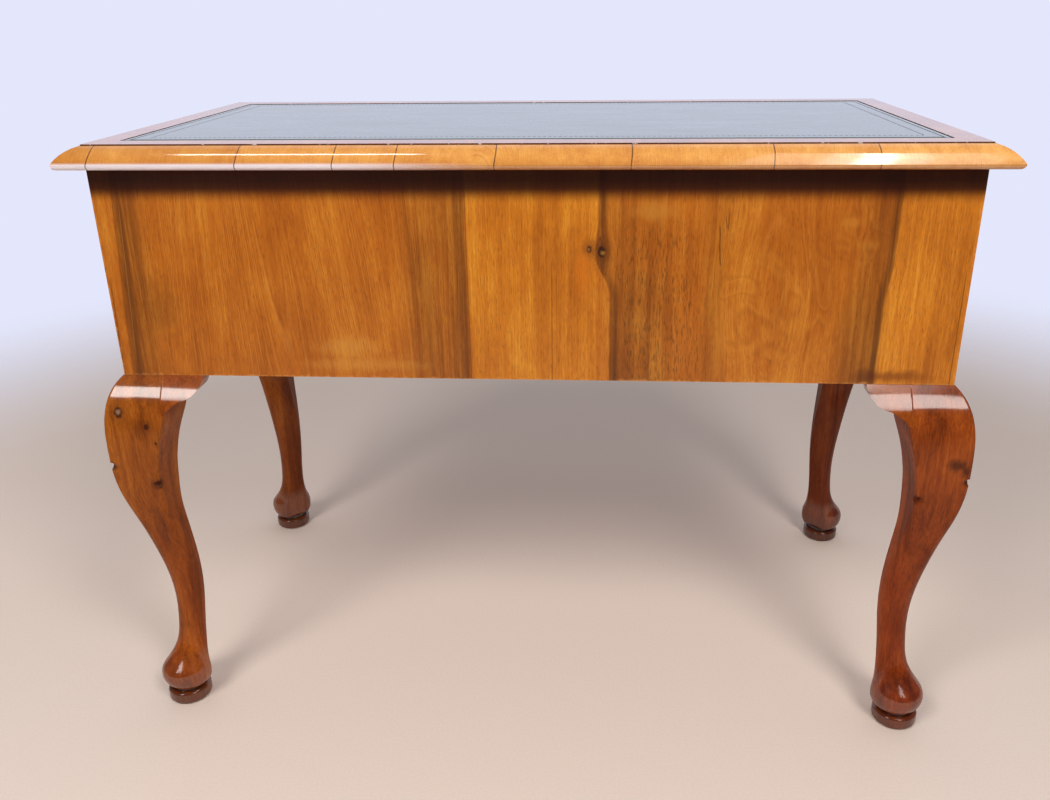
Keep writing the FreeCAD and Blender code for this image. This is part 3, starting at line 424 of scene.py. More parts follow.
class Finish:
    """A material under way: its tree, shader, object coordinates, grain and the colour so far."""

    def __init__(self, name, along="Z"):
        self.material = bpy.data.materials.new(name)
        self.material.use_nodes = True
        self.tree = self.material.node_tree
        self.shader = self.tree.nodes["Principled BSDF"]
        self.place = add(self.tree, "ShaderNodeTexCoord").outputs["Object"]
        turn = {"Vector": self.place, "Rotation": GRAIN_TURNS[along]}
        self.grain = add(self.tree, "ShaderNodeMapping", turn).outputs["Vector"]
        self.colour = self.fibre = None

    def knot(self, centre, reach, core, pull):
        """Bends the grain round a knot as far as reach, by pull; core is the radius of its dark eye."""
        values = {"Grain": self.grain, "Centre": centre, "Reach": reach, "Core": core, "Pull": pull}
        made = use(self.tree, KNOT, values)
        self.grain = made["Grain"]
        return made

    def fan(self, level, ends, slopes, within):
        """Slants the grain where the mask is full, by a slope that changes from one end to the other."""
        x, y, z = split(self.tree, self.grain)
        slope = times(self.tree, span(self.tree, x, *ends, *slopes), within)
        slide = times(self.tree, minus(self.tree, z, level), slope)
        self.grain = joined(self.tree, minus(self.tree, x, slide), y, z)

    def wood(self, tones, coarse=1.0, pores=0.3):
        """Base colour from clouds, streaks, fibre and dashes, through a dark, a middle and a light tone."""
        tree = self.tree
        self.fibre = use(tree, WOOD_FIBRE, {"Grain": self.grain, "Coarse": coarse})
        level = times(tree, self.fibre["Cloud"], 0.44)
        for name, share in (("Streak", 0.36), ("Fibre", 0.20), ("Dash", 0.18)):
            level = times_plus(tree, self.fibre[name], share, level)
        stops = [(place, tone(*each)) for place, each in zip((0.45, 0.59, 0.73), tones)]
        self.colour = ramp(tree, level, stops)
        self.stain(self.fibre["Pore"], (74, 34, 12), pores)

    def rings(self, heart, shape, strength, within=None, dark=(112, 54, 14), light=(226, 152, 66)):
        """Annual rings round a heart; shape is its depth under the face, its lean and the rings' spacing."""
        values = {"Grain": self.grain, "Heart": heart}
        values.update(zip(("Depth", "Lean", "Spacing"), shape))
        made = use(self.tree, GROWTH_RINGS, values)
        for label, colour, share in (("Dark", dark, 1.0), ("Light", light, 0.7)):
            mask = made[label] if within is None else times(self.tree, made[label], within)
            self.stain(mask, colour, strength * share)

    def swirl(self, centre, size, strength):
        """Wandering lines like those round a burr, inside a soft oval."""
        tree = self.tree
        away = vectors(tree, "DIVIDE", vectors(tree, "SUBTRACT", self.grain, centre), size)
        inside = fall(tree, vectors(tree, "LENGTH", away), 0.55, 1.1)
        hills = times(tree, noise(tree, self.grain, (19.0, 19.0, 13.0), 2.0, 0.5, 0.6), 6.0)
        part = maths(tree, "FRACT", hills)
        for middle, width, colour in ((0.5, 0.24, (124, 60, 14)), (0.74, 0.30, (218, 146, 50))):
            self.stain(times(tree, ridge(tree, part, middle, width), inside), colour, strength)

    def stain(self, mask, colour, strength):
        share = times(self.tree, mask, strength, clamp=True)
        self.colour = mix(self.tree, share, self.colour, tone(*colour))

    def brighten(self, mask, factors):
        self.colour = mix(self.tree, mask, self.colour, (*factors, 1.0), "MULTIPLY")

    def streak_mask(self, place, width, soft, **shape):
        """Where a streak lies; soft is how far it fades on its high and its low side."""
        values = {"Grain": self.grain, "Place": place, "Width": width}
        values.update(zip(("Soft high", "Soft low"), soft))
        values.update({label.replace("_", " ").capitalize(): value for label, value in shape.items()})
        return use(self.tree, DARK_STREAK, values)["Mask"]

    def streak(self, place, width, strength, colour=(88, 46, 14), **shape):
        mask = self.streak_mask(place, width, **shape)
        streaky = span(self.tree, self.fibre["Streak"], 0.64, 0.40, 0.45, 1.0)
        self.stain(times(self.tree, mask, streaky), colour, strength)

    def hairline(self, place, strength, colour=(60, 28, 10), **shape):
        mask = self.streak_mask(place, 0.0005, soft=(0.0006, 0.0006), **shape)
        self.stain(mask, colour, strength)

    # Colours the edges of a box: worn edges, and on the leather also painted shade.
    def wear(self, low, high, width, colour, strength):
        values = {"Place": self.place, "Low": low, "High": high, "Width": width}
        self.stain(use(self.tree, EDGE_WEAR_AND_SHADE, values)["Mask"], colour, strength)

    def patch(self, centre, size, colour, strength, place=None):
        """A soft, ragged patch of another colour, size being its half width along each axis."""
        tree = self.tree
        away = vectors(tree, "DIVIDE", vectors(tree, "SUBTRACT", place or self.place, centre), size)
        ragged = noise(tree, self.place, 55.0, 4.0, 0.65)
        far = times_plus(tree, ragged, 1.2, vectors(tree, "LENGTH", away))
        self.stain(fall(tree, far, 0.75, 1.6), colour, strength)

    def looks(self, values):
        for label, value in values.items():
            give(self.tree, self.shader.inputs[label], value)

    def paint(self, roughness):
        self.looks({"Base Color": self.colour, "Roughness": roughness})

    def relief(self, height, strength, depth):
        shape = {"Height": height, "Strength": strength, "Distance": depth}
        self.looks({"Normal": add(self.tree, "ShaderNodeBump", shape).outputs["Normal"]})

    def polish(self, coat=PANEL_COAT, coat_roughness=0.12, strength=0.16, shine=0.3):
        values = {"Place": self.place, "Fibre": self.fibre["Fibre"], "Pore": self.fibre["Pore"]}
        polish = use(self.tree, FRENCH_POLISH, values)
        self.paint(polish["Roughness"])
        self.looks({"Coat Weight": coat, "Coat Roughness": coat_roughness, "Specular IOR Level": shine})
        self.relief(polish["Height"], strength, 0.0004)
        return self.material


def paint_overhang_shadow(made, top):
    """Painted shadow: a dark strip on the panel under the top's overhang, standing for the shadow that the
    overhang casts.
    """
    _, _, z = split(made.tree, made.place)
    mask = span(made.tree, z, *(top - edge for edge in OVERHANG_SHADOW_EDGES))
    # Painted shadow, full near the top of the panel and fading out lower down.
    made.stain(mask, (52, 15, 3), 0.94)
    return mask


def back_streaks(made, straight, face):
    """The dark streaks, the bands along the leaves' joints, and the cracks, from image left to right."""
    tree = made.tree
    made.patch((0.445, face, 0.585), (0.035, 1.0, 0.055), (112, 60, 16), 0.42)
    outer = {"level": 0.62, "lean": -0.058}
    made.streak(0.4808, 0.007, 0.48, (70, 36, 12), wave=0.002, soft=(0.002, 0.010), **outer)
    made.streak(0.472, 0.010, 0.55, wave=0.004, soft=(0.004, 0.030), **outer)
    made.hairline(0.4775, 0.16, (226, 176, 96), lean=-0.063, bottom=0.55, top=0.68, fade=0.05)
    made.hairline(0.499, 0.6, lean=-0.02, wave=0.003, top=0.60)
    made.streak(0.100, 0.056, 0.35, soft=(0.030, 0.0015), wave=0.004)
    made.streak(0.074, 0.008, 0.50, (76, 40, 14), soft=(0.016, 0.001))
    fading = {"top": 0.62, "fade": 0.08}
    made.streak(0.118, 0.006, 0.46, lean=0.06, soft=(0.016, 0.012), wave=0.008, **fading)
    made.hairline(0.0682, 0.5)
    middle_leaf = made.streak_mask(-0.008, 0.146, soft=(0.004, 0.004))
    made.brighten(middle_leaf, (1.18, 1.32, 1.18))
    heartwood = {"step": -0.014, "step_level": 0.622, "step_run": 0.024, "wave": 0.003}
    made.streak(-0.104, 0.036, 0.25, soft=(0.002, 0.050), **heartwood)
    made.streak(-0.108, 0.044, 0.30, soft=(0.002, 0.036), top=0.60, fade=0.06, **heartwood)
    made.streak(-0.0855, 0.003, 0.75, (62, 32, 12), soft=(0.0010, 0.010), **heartwood)
    lower = {"top": 0.66, "fade": 0.06}
    porous = made.streak_mask(-0.135, 0.070, soft=(0.002, 0.06), **lower, **heartwood)
    dashes = span(tree, made.fibre["Dash"], 0.50, 0.64)
    made.stain(times(tree, dashes, porous), (84, 44, 12), 0.55)
    made.streak(-0.222, 0.010, 0.26, wave=0.006, soft=(0.020, 0.016))
    curve = {"step": 0.006, "step_level": 0.620, "step_run": 0.035, "wave": 0.005}
    made.streak(-0.404, 0.018, 0.46, soft=(0.034, 0.002), **curve)
    made.streak(-0.414, 0.003, 0.75, (66, 34, 12), soft=(0.008, 0.0015), **curve)
    made.streak(-0.396, 0.030, 0.28, soft=(0.030, 0.010), top=0.57, fade=0.06, **curve)
    made.patch((-0.398, face, 0.503), (0.022, 1.0, 0.016), (84, 42, 14), 0.6)
    far_leaf = made.streak_mask(-0.462, 0.090, soft=(0.006, 0.004))
    made.brighten(far_leaf, (1.28, 1.46, 1.45))
    for x, z, strength in ((-0.364, 0.688, 0.28), (-0.385, 0.662, 0.24)):
        made.patch((x, face, z), (0.016, 1.0, 0.008), (216, 144, 52), strength)
    made.grain = straight
    made.hairline(-0.0825, 0.6, lean=-0.30, level=0.66, wave=0.002, bottom=0.658, top=0.668, fade=0.004)
    made.hairline(-0.0885, 0.6, lean=0.30, level=0.66, wave=0.002, bottom=0.657, top=0.668, fade=0.004)
    made.hairline(-0.2215, 0.8, lean=0.07, level=0.66, wave=0.007, bottom=0.641, top=0.679, fade=0.006)
    made.hairline(-0.23, 0.6, wave=0.008, bottom=0.682, top=0.695, fade=0.006)
    made.hairline(-0.2265, 0.5, lean=0.2, level=0.69, wave=0.008, bottom=0.684, top=0.690, fade=0.006)
    made.hairline(-0.03, 0.5, top=0.62)
    made.hairline(-0.4965, 0.6, top=0.61)


# Each patch's place across and up, its half width and half height, its colour and its strength.
BACK_PATCHES = (
    (-0.0725, 0.656, 0.0030, 0.0030, (148, 100, 48), 0.9),
    (-0.0885, 0.652, 0.0045, 0.0040, (160, 106, 46), 0.9),
    (-0.066, 0.630, 0.014, 0.045, (210, 112, 24), 0.5),
    (0.222, 0.534, 0.050, 0.020, (214, 152, 66), 0.40),
    (0.195, 0.512, 0.095, 0.012, (214, 152, 66), 0.36),
    (-0.145, 0.700, 0.034, 0.018, (206, 142, 56), 0.40),
    (-0.435, 0.505, 0.055, 0.010, (104, 40, 12), 0.6),
)


def back_panel_finish():
    """Three leaves of veneer with the dark streaks, knots, cracks and wear of the desk's back."""
    low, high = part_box("back_panel")
    face = high[1]
    made = Finish("Back_panel_walnut")
    tree = made.tree
    straight = made.grain
    first_knot = made.knot((-0.073, face, 0.656), 0.012, 0.0036, 0.5)
    second_knot = made.knot((-0.087, face, 0.653), 0.026, 0.0052, 0.6)
    made.knot((-0.285, face, 0.600), 0.085, 0.0001, 0.45)
    made.knot((-0.364, face, 0.688), 0.016, 0.0001, 0.8)
    made.knot((-0.385, face, 0.662), 0.016, 0.0001, 0.8)
    upright = made.grain
    left_leaf = made.streak_mask(0.274, 0.410, soft=(0.010, 0.002))
    right_leaf = made.streak_mask(-0.290, 0.380, soft=(0.010, 0.020))
    slanted = made.streak_mask(0.310, 0.230, soft=(0.050, 0.100))
    made.fan(0.62, (0.24, 0.42), (0.11, -0.06), slanted)
    made.wood(PANEL_TONES)
    made.rings((0.297, 0.0, 0.556), (0.0284, -0.031, 0.0052), 0.30, left_leaf)
    made.rings((-0.285, 0.0, 0.600), (0.020, 0.10, 0.0110), 0.16, right_leaf)
    made.grain = upright
    made.swirl((-0.285, face, 0.590), (0.085, 1.0, 0.085), 0.17)
    made.swirl((-0.375, face, 0.672), (0.035, 1.0, 0.040), 0.16)
    back_streaks(made, straight, face)
    for eye in (first_knot, second_knot):
        made.stain(eye["Halo"], (98, 48, 16), 0.6)
        made.stain(eye["Eye"], (42, 20, 10), 0.9)
    for x, z, half_width, half_height, colour, strength in BACK_PATCHES:
        made.patch((x, face, z), (half_width, 1.0, half_height), colour, strength)
    made.wear(low, high, 0.0035, (216, 150, 80), 0.5)
    # Painted shadow under the overhang; the coat is thinned there too.
    painted_shadow = paint_overhang_shadow(made, high[2])
    return made.polish(times_plus(tree, painted_shadow, -PANEL_COAT, PANEL_COAT))


def side_panel_finish(name, shift, top):
    made = Finish(name, "side Z")
    made.wood(PANEL_TONES)
    made.rings((shift, 0.0, 0.56), (0.0284, -0.05, 0.0050), 0.34)
    made.streak(shift - 0.12, 0.03, 0.4, lean=0.03, wave=0.012, soft=(0.03, 0.003))
    made.streak(shift + 0.13, 0.012, 0.5, lean=-0.03, wave=0.010, soft=(0.004, 0.03))
    # Painted shadow under the top's overhang.
    paint_overhang_shadow(made, top)
    return made.polish()


def drawer_front_finish(name, low, high, heart):
    """Book-matched veneer, a feather band and crossbanding on the face, plain wood behind it."""
    made = Finish(name)
    tree = made.tree
    x, y, z = split(tree, made.place)
    across = minus(tree, x, (low[0] + high[0]) / 2)
    up = minus(tree, z, (low[2] + high[2]) / 2)
    sizes = {"Half width": (high[0] - low[0]) / 2, "Half height": (high[2] - low[2]) / 2}
    sizes.update({"Band": BAND_WIDTH, "Feather": FEATHER_WIDTH})
    band = use(tree, CROSSBANDING, {"Across": across, "Up": up, **sizes})
    made.grain = joined(tree, unsigned(tree, across), y, z)
    made.wood(PANEL_TONES)
    made.rings((heart, 0.0, low[2]), (0.030, -0.20, 0.0075), 0.4)
    field, fibre = made.colour, made.fibre
    made.grain = band["Grain"]
    made.wood(((146, 72, 22), (176, 98, 32), (200, 122, 46)))
    border = made.colour
    stripe = maths(tree, "SINE", times(tree, band["Slant"], FEATHER_PITCH))
    feather = mix(tree, span(tree, stripe, -0.6, 0.6), tone(126, 62, 22), tone(204, 132, 60))
    colour = mix(tree, band["Band"], field, border)
    colour = mix(tree, band["Feather"], colour, feather)
    made.colour = mix(tree, times(tree, band["Line"], 0.7), colour, tone(84, 38, 14))
    made.stain(span(tree, y, *(low[1] + edge for edge in VENEER_EDGE)), (170, 118, 66), 0.8)
    made.fibre = fibre
    return made.polish()


def moulding_finish(name, along, length, joints, tints):
    """Short lengths of cross-grained walnut, each of its own tone, with thin dark glue joints."""
    made = Finish(name, along)
    tree = made.tree
    made.wood(((206, 127, 52), (226, 153, 66), (240, 172, 86)), coarse=1.2, pores=0.16)
    made.rings((0.05, 0.0, 0.74), (0.10, 0.3, 0.0045), 0.30, dark=(170, 88, 20), light=(246, 186, 96))
    x, y, z = split(tree, made.place)
    run = x if along == "Y" else y
    skew = times_plus(tree, maths(tree, "SINE", times(tree, z, 190.0)), 0.0007, run)
    tint, glue = tints[0], 0.0
    for joint, before, after in zip(joints, tints, tints[1:]):
        past = minus(tree, skew, (joint - 0.5) * length)
        tint = times_plus(tree, maths(tree, "GREATER_THAN", past, 0.0), after - before, tint)
        line = fall(tree, unsigned(tree, past), 0.0003, 0.0009)
        glue = maths(tree, "MAXIMUM", line, glue)
    warm = joined(tree, tint, maths(tree, "POWER", tint, 1.6), maths(tree, "POWER", tint, 3.2))
    made.colour = mix(tree, 1.0, made.colour, warm, "MULTIPLY")
    made.stain(span(tree, z, *MOULDING_SHADE), (150, 74, 16), 0.42)
    # Painted reflection: a pale lilac band along the lower nose of the back moulding, full towards its +X
    # end.
    if name.startswith("Back"):
        nose = times(tree, span(tree, z, *NOSE_REFLECTION_BAND), span(tree, x, *NOSE_REFLECTION_RUN))
        made.stain(nose, (252, 244, 252), 0.93)
    made.stain(glue, (72, 32, 24), 0.9)
    # Painted shade: a dark line along the moulding's top edge, where it steps down from the border.
    made.stain(span(tree, z, *MOULDING_RIM_SHADE), (50, 24, 14), 0.8)
    made.looks({"Coat IOR": HARD_GLOSS})
    return made.polish(coat=1.0, coat_roughness=0.085, strength=0.06)


def border_finish():
    """Crossbanded border whose outer edge is dark with painted shade, as in the step down to the moulding,
    with flecks of old wax and dust along it.
    """
    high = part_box("top_border_crossband")[1]
    made = Finish("Border_crossbanding")
    tree = made.tree
    x, y, z = split(tree, made.place)
    sizes = {"Half width": high[0], "Half height": high[1]}
    band = use(tree, CROSSBANDING, {"Across": x, "Up": y, "Band": 0.5, "Feather": 0.0, **sizes})
    made.grain = band["Grain"]
    made.wood(PANEL_TONES)
    # Painted shade: the border's sides below its top face are made dark.
    edge = span(tree, z, high[2] - 0.0001, high[2] - 0.0003)
    made.stain(edge, (46, 22, 14), 0.92)
    dust = span(tree, noise(tree, made.place, 170.0, 3.0, 0.6), 0.61, 0.67)
    made.stain(times(tree, edge, dust), (236, 230, 224), 0.85)
    return made.polish(coat=1.0, coat_roughness=0.08, strength=0.12, shine=0.4)


def leg_finish(name, tones, knots=(), pale_knots=(), marks=()):
    """Solid walnut, redder down the leg, with dark patches, and dirt with painted shade in the cuts and the
    sole's groove.
    """
    made = Finish(name)
    tree = made.tree
    eyes = [made.knot(*each) for each in knots]
    made.wood(tones)
    made.rings((0.35, 0.0, 0.45), (0.12, -0.25, 0.0080), 0.18, dark=(66, 28, 10), light=(182, 104, 42))
    for eye in eyes:
        made.stain(eye["Halo"], (92, 46, 20), 0.38)
        made.stain(eye["Eye"], (50, 26, 18), 0.85)
    for centre, radius in pale_knots:
        made.patch(centre, (radius, 1.0, radius), (164, 124, 98), 0.75)
    for centre, size in marks:
        made.patch(centre, size, (46, 20, 10), 0.75)
    _, _, z = split(tree, made.place)
    patch = noise(tree, made.place, (22.0, 22.0, 9.0), 4.0, 0.6)
    made.stain(span(tree, patch, 0.54, 0.74), (66, 27, 10), 0.5)
    made.brighten(span(tree, z, *SHANK_FADE), (0.84, 0.68, 0.70))
    made.stain(span(tree, made.fibre["Streak"], 0.50, 0.36), (58, 22, 8), 0.16)
    made.stain(span(tree, z, *SOLE_EDGE), (66, 31, 17), 0.60)
    folded = vectors(tree, "ABSOLUTE", made.place)
    # Dirt and painted shade in the notches cut in the knees.
    for centre in KNEE_CUTS:
        made.patch(centre, (0.013, 0.013, 0.010), (30, 13, 8), 0.9, folded)
    # Dirt and painted shade in the groove between the pad and the sole.
    groove = times(tree, span(tree, z, *GROOVE_FOOT), span(tree, z, *GROOVE_HEAD))
    made.stain(groove, (24, 12, 10), 0.85)
    glossy = maths(tree, "MAXIMUM", span(tree, z, *KNEE_TOP), span(tree, z, *FOOT_TOP, 0.0, 0.60))
    made.looks({"Coat IOR": HARD_GLOSS})
    coat = maths(tree, "MAXIMUM", glossy, 0.09)
    return made.polish(coat, coat_roughness=0.11, strength=0.08, shine=0.06)


def plain_wood_finish(name, along, tones, spacing):
    made = Finish(name, along)
    made.wood(tones)
    made.rings((0.1, 0.0, 0.1), (0.06, 0.05, spacing), 0.3, dark=(124, 88, 48), light=(214, 178, 122))
    dirt = noise(made.tree, made.place, 6.0, 4.0, 0.6)
    made.stain(span(made.tree, dirt, 0.5, 0.8), (92, 66, 40), 0.3)
    made.polish(coat=0.0, coat_roughness=0.2, strength=0.3)
    made.paint(times_plus(made.tree, made.fibre["Fibre"], 0.2, 0.5))
    return made.material


def metal_finish(name, bright, dull, amount):
    made = Finish(name)
    tarnish = use(made.tree, TARNISH, {"Place": made.place, "Amount": amount})
    made.colour = mix(made.tree, tarnish["Mask"], tone(*bright), tone(*dull))
    made.paint(tarnish["Roughness"])
    made.looks({"Metallic": 1.0})
    made.relief(tarnish["Height"], 0.12, 0.0003)
    return made.material


def leather_finish():
    low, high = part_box("leather_skiver")
    made = Finish("Green_leather")
    tree = made.tree
    looks = {"Vector": made.place, "Scale": 620.0}
    cells = add(tree, "ShaderNodeTexVoronoi", looks, feature="DISTANCE_TO_EDGE").outputs["Distance"]
    crease = span(tree, cells, 0.0, 0.10)
    cloud = noise(tree, made.place, (7.0, 26.0, 9.0), 4.0, 0.6)
    stops = [(0.3, tone(44, 70, 54)), (0.5, tone(58, 88, 68)), (0.72, tone(78, 108, 84))]
    made.colour = ramp(tree, cloud, stops)
    made.colour = mix(tree, crease, tone(32, 54, 42), made.colour)
    # Dark leather edge: wear, and painted shade in the gap to the border.
    made.wear(low, high, 0.003, (22, 28, 22), 0.7)
    made.paint(times_plus(tree, cloud, 0.3, 0.14))
    made.looks({"Coat Weight": 0.9, "Coat Roughness": 0.17})
    wave = noise(tree, made.place, (18.0, 60.0, 30.0), 3.0, 0.5)
    made.relief(times_plus(tree, crease, 0.25, wave), 0.14, 0.0003)
    return made.material


def tooled_finish():
    made = Finish("Blind_tooling")
    press = noise(made.tree, made.place, 400.0, 2.0)
    made.colour = mix(made.tree, press, tone(18, 24, 20), tone(40, 44, 34))
    made.paint(times_plus(made.tree, press, 0.2, 0.75))
    made.looks({"Specular IOR Level": 0.08})
    return made.material


def new_object(name, data):
    made = bpy.data.objects.new(name, data)
    bpy.context.scene.collection.objects.link(made)
    return made


def closed_mesh(name, shape):
    mesh = bpy.data.meshes.new(name)
    bmesh.ops.recalc_face_normals(shape, faces=shape.faces)
    shape.to_mesh(mesh)
    shape.free()
    return new_object(name, mesh)


LEATHER_GAP = 0.0006
LINE_INSET = 0.0080
DASH_INSET = 0.0255
# Each ring's inset from the leather's edge, a step aside from there, and its height above the top.
LEATHER_RINGS = (
    (0.0, 0.0, -0.0011),
    (0.0, 0.0, -0.0005),
    (0.0, 0.0017, -0.0004),
    (0.0, 0.0021, 0.0),
    (LINE_INSET, -0.0011, 0.0),
    (LINE_INSET, -0.0008, -0.0003),
    (LINE_INSET, 0.0008, -0.0003),
    (LINE_INSET, 0.0011, 0.0),
    (0.120, 0.0, 0.0),
)
LONG_LINE_SHARE = 2.2
PRESSED = 0.0002
DASH_SIZES = {"Pitch": 0.006, "Length": 0.0040, "Breadth": 0.0021, "Rise": 0.00024}
BEAD_RADIUS, BEAD_CORNER = 0.0016, 0.0012


def build_leather(leather, tooled):
    """The writing leather: a thin skin with one line pressed in at its edge and one further in.

    The long lines, along the front and the back, are pressed broader than the short ones.
    """
    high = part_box("leather_skiver")[1]
    half_width, half_depth = high[0] - LEATHER_GAP, high[1] - LEATHER_GAP
    shape = bmesh.new()
    rings = []
    for inset, aside, sink in LEATHER_RINGS:
        x, y = half_width - inset - aside, half_depth - inset - aside * LONG_LINE_SHARE
        z = high[2] + sink
        corners = ((-x, -y), (x, -y), (x, y), (-x, y))
        rings.append([shape.verts.new((*corner, z)) for corner in corners])
    for outer, inner in zip(rings, rings[1:]):
        for index in range(4):
            after = (index + 1) % 4
            shape.faces.new((outer[index], outer[after], inner[after], inner[index]))
    shape.faces.new(rings[-1])
    shape.faces.new(reversed(rings[0]))
    piece = closed_mesh("Writing_leather", shape)
    piece.data.materials.append(leather)
    piece.data.materials.append(tooled)
    for face in piece.data.polygons:
        depths = [high[2] - piece.data.vertices[index].co[2] for index in face.vertices]
        face.material_index = 1 if min(depths) > PRESSED else 0
    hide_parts("leather_skiver")
    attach(piece, "case")


def new_tree(name, sizes):
    tree = bpy.data.node_groups.new(name, "GeometryNodeTree")
    tree.interface.new_socket("Geometry", in_out="OUTPUT", socket_type="NodeSocketGeometry")
    ids = {}
    for label in sizes:
        ids[label] = tree.interface.new_socket(label, in_out="INPUT", socket_type=FLOAT).identifier
    take = tree.nodes.new("NodeGroupInput").outputs
    put = tree.nodes.new("NodeGroupOutput").inputs
    return tree, ids, take, put


def finish_tree(tree, put, geometry, material):
    loose = add(tree, "GeometryNodeRealizeInstances", {"Geometry": geometry}).outputs["Geometry"]
    looks = {"Geometry": loose, "Material": material}
    give(tree, put["Geometry"], add(tree, "GeometryNodeSetMaterial", looks).outputs["Geometry"])


def grown(name, tree, ids, sizes):
    """Runs a tree on an empty mesh and keeps the result as a plain mesh."""
    seed = new_object(name + "_seed", bpy.data.meshes.new(name + "_seed"))
    grow = seed.modifiers.new("Grow", "NODES")
    grow.node_group = tree
    for label, value in sizes.items():
        grow[ids[label]] = value
    ready = seed.evaluated_get(bpy.context.evaluated_depsgraph_get())
    mesh = bpy.data.meshes.new_from_object(ready)
    mesh.name = name
    bpy.data.objects.remove(seed)
    return new_object(name, mesh)


def tooled_dash_tree(material):
    """Short pressed marks at an even pitch round a rectangle."""
    sizes = ("Width", "Depth", "Level", "Pitch", "Length", "Breadth", "Rise")
    tree, ids, take, put = new_tree("Tooled dashes", sizes)
    sides = {"Width": take["Width"], "Height": take["Depth"]}
    path = add(tree, "GeometryNodeCurvePrimitiveQuadrilateral", sides)
    round_it = times(tree, plus(tree, take["Width"], take["Depth"]), 2.0)
    count = maths(tree, "ROUND", maths(tree, "DIVIDE", round_it, take["Pitch"]))
    points = add(tree, "GeometryNodeResampleCurve", {"Curve": path.outputs[0], "Count": count})
    mark = add(tree, "GeometryNodeMeshUVSphere", {"Segments": 8, "Rings": 4, "Radius": 0.5})
    size = joined(tree, take["Length"], take["Breadth"], take["Rise"])
    mark = add(tree, "GeometryNodeTransform", {"Geometry": mark.outputs["Mesh"], "Scale": size})
    tangent = add(tree, "GeometryNodeInputTangent").outputs[0]
    turn = add(tree, "FunctionNodeAlignRotationToVector", {"Vector": tangent}, axis="X")
    links = {"Points": points.outputs[0], "Instance": mark.outputs[0], "Rotation": turn.outputs[0]}
    marks = add(tree, "GeometryNodeInstanceOnPoints", links)
    lift = joined(tree, 0.0, 0.0, take["Level"])
    placed = add(tree, "GeometryNodeTransform", {"Geometry": marks.outputs[0], "Translation": lift})
    finish_tree(tree, put, placed.outputs[0], material)
    return tree, ids


def cockbead_tree(material):
    """A half-round bead let in round an upright rectangle."""
    sizes = ("Width", "Height", "Bead", "Centre across", "Centre out", "Centre up")
    tree, ids, take, put = new_tree("Cockbead", sizes)
    trim = times(tree, take["Bead"], 2.0)
    inner = {side: minus(tree, take[side], trim) for side in ("Width", "Height")}
    path = add(tree, "GeometryNodeCurvePrimitiveQuadrilateral", inner)
    corner = {"Curve": path.outputs[0], "Count": 3, "Radius": BEAD_CORNER}
    eased = add(tree, "GeometryNodeFilletCurve", corner, mode="POLY")
    section = add(tree, "GeometryNodeCurvePrimitiveCircle", {"Resolution": 12, "Radius": take["Bead"]})
    sweep = {"Curve": eased.outputs[0], "Profile Curve": section.outputs["Curve"]}
    bead = add(tree, "GeometryNodeCurveToMesh", sweep)
    centre = joined(tree, take["Centre across"], take["Centre out"], take["Centre up"])
    stand = {"Geometry": bead.outputs[0], "Translation": centre, "Rotation": (QUARTER_TURN, 0.0, 0.0)}
    placed = add(tree, "GeometryNodeTransform", stand)
    finish_tree(tree, put, placed.outputs[0], material)
    return tree, ids


def build_dashes(material):
    low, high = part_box("leather_skiver")
    tree, ids = tooled_dash_tree(material)
    sizes = {
        "Width": high[0] - low[0] - 2 * DASH_INSET,
        "Depth": high[1] - low[1] - 2 * DASH_INSET,
        "Level": high[2],
        **DASH_SIZES,
    }
    piece = grown("Tooled_dashes", tree, ids, sizes)
    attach(piece, "case")


def build_cockbeads(material):
    tree, ids = cockbead_tree(material)
    for drawer in DRAWERS:
        low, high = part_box(drawer + "_front")
        sizes = {
            "Width": high[0] - low[0],
            "Height": high[2] - low[2],
            "Bead": BEAD_RADIUS,
            "Centre across": (low[0] + high[0]) / 2,
            "Centre out": low[1],
            "Centre up": (low[2] + high[2]) / 2,
        }
        piece = grown(drawer + "_cockbead", tree, ids, sizes)
        for face in piece.data.polygons:
            face.use_smooth = True
        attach(piece, drawer)


def dress(material, *nodes):
    for node in nodes:
        for slot in frame["nodes"][node].material_slots:
            slot.material = material


def dress_all():
    dress(back_panel_finish(), "back_panel")
    for side, shift in (("left", 0.03), ("right", -0.05)):
        for node, start in ((side + "_side_panel", shift), (side + "_kneehole_side", shift + 0.08)):
            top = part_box(node)[1][2]
            dress(side_panel_finish(node.capitalize() + "_walnut", start, top), node)
    rail = Finish("Rail_walnut", "X")
    rail.wood(((136, 68, 22), (168, 92, 32), (192, 114, 44)))
    rail.rings((0.0, 0.0, 0.2), (0.05, 0.05, 0.009), 0.25)
    dress(rail.polish(), "top_front_rail", "left_drawer_rail", "right_drawer_rail", "kneehole_rail")
    pine_tones = ((150, 108, 62), (178, 134, 82), (198, 156, 102))
    pine_long = plain_wood_finish("Carcass_pine", "X", pine_tones, 0.009)
    pine_deep = plain_wood_finish("Runner_pine", "Y", pine_tones, 0.009)
    dress(pine_long, "top_panel", "left_pedestal_bottom", "right_pedestal_bottom")
    dress(pine_deep, "drawer_runners", "drawer_kickers", "drawer_stops", "glue_blocks")
    dress_top()
    dress_legs()
    dress_drawers()


def dress_top():
    back_joints = (0.14, 0.245, 0.388, 0.528, 0.632, 0.697, 0.80, 0.96)
    back_tints = (1.17, 1.10, 1.07, 1.03, 1.04, 1.05, 1.02, 0.93, 0.86)
    side_joints = (0.16, 0.38, 0.55, 0.79)
    side_tints = (0.92, 1.0, 0.90, 0.97, 0.88)
    low, high = solid_box
    width, depth = high[0] - low[0], high[1] - low[1]
    long_run = ("Y", width, back_joints, back_tints)
    short_run = ("X", depth, side_joints, side_tints)
    for name, run in (("back", long_run), ("front", long_run), ("left", short_run), ("right", short_run)):
        dress(moulding_finish(name.capitalize() + "_moulding_walnut", *run), "top_moulding_" + name)
    dress(border_finish(), "top_border_crossband")


def darker(tones, share):
    return [[share * level for level in each] for each in tones]


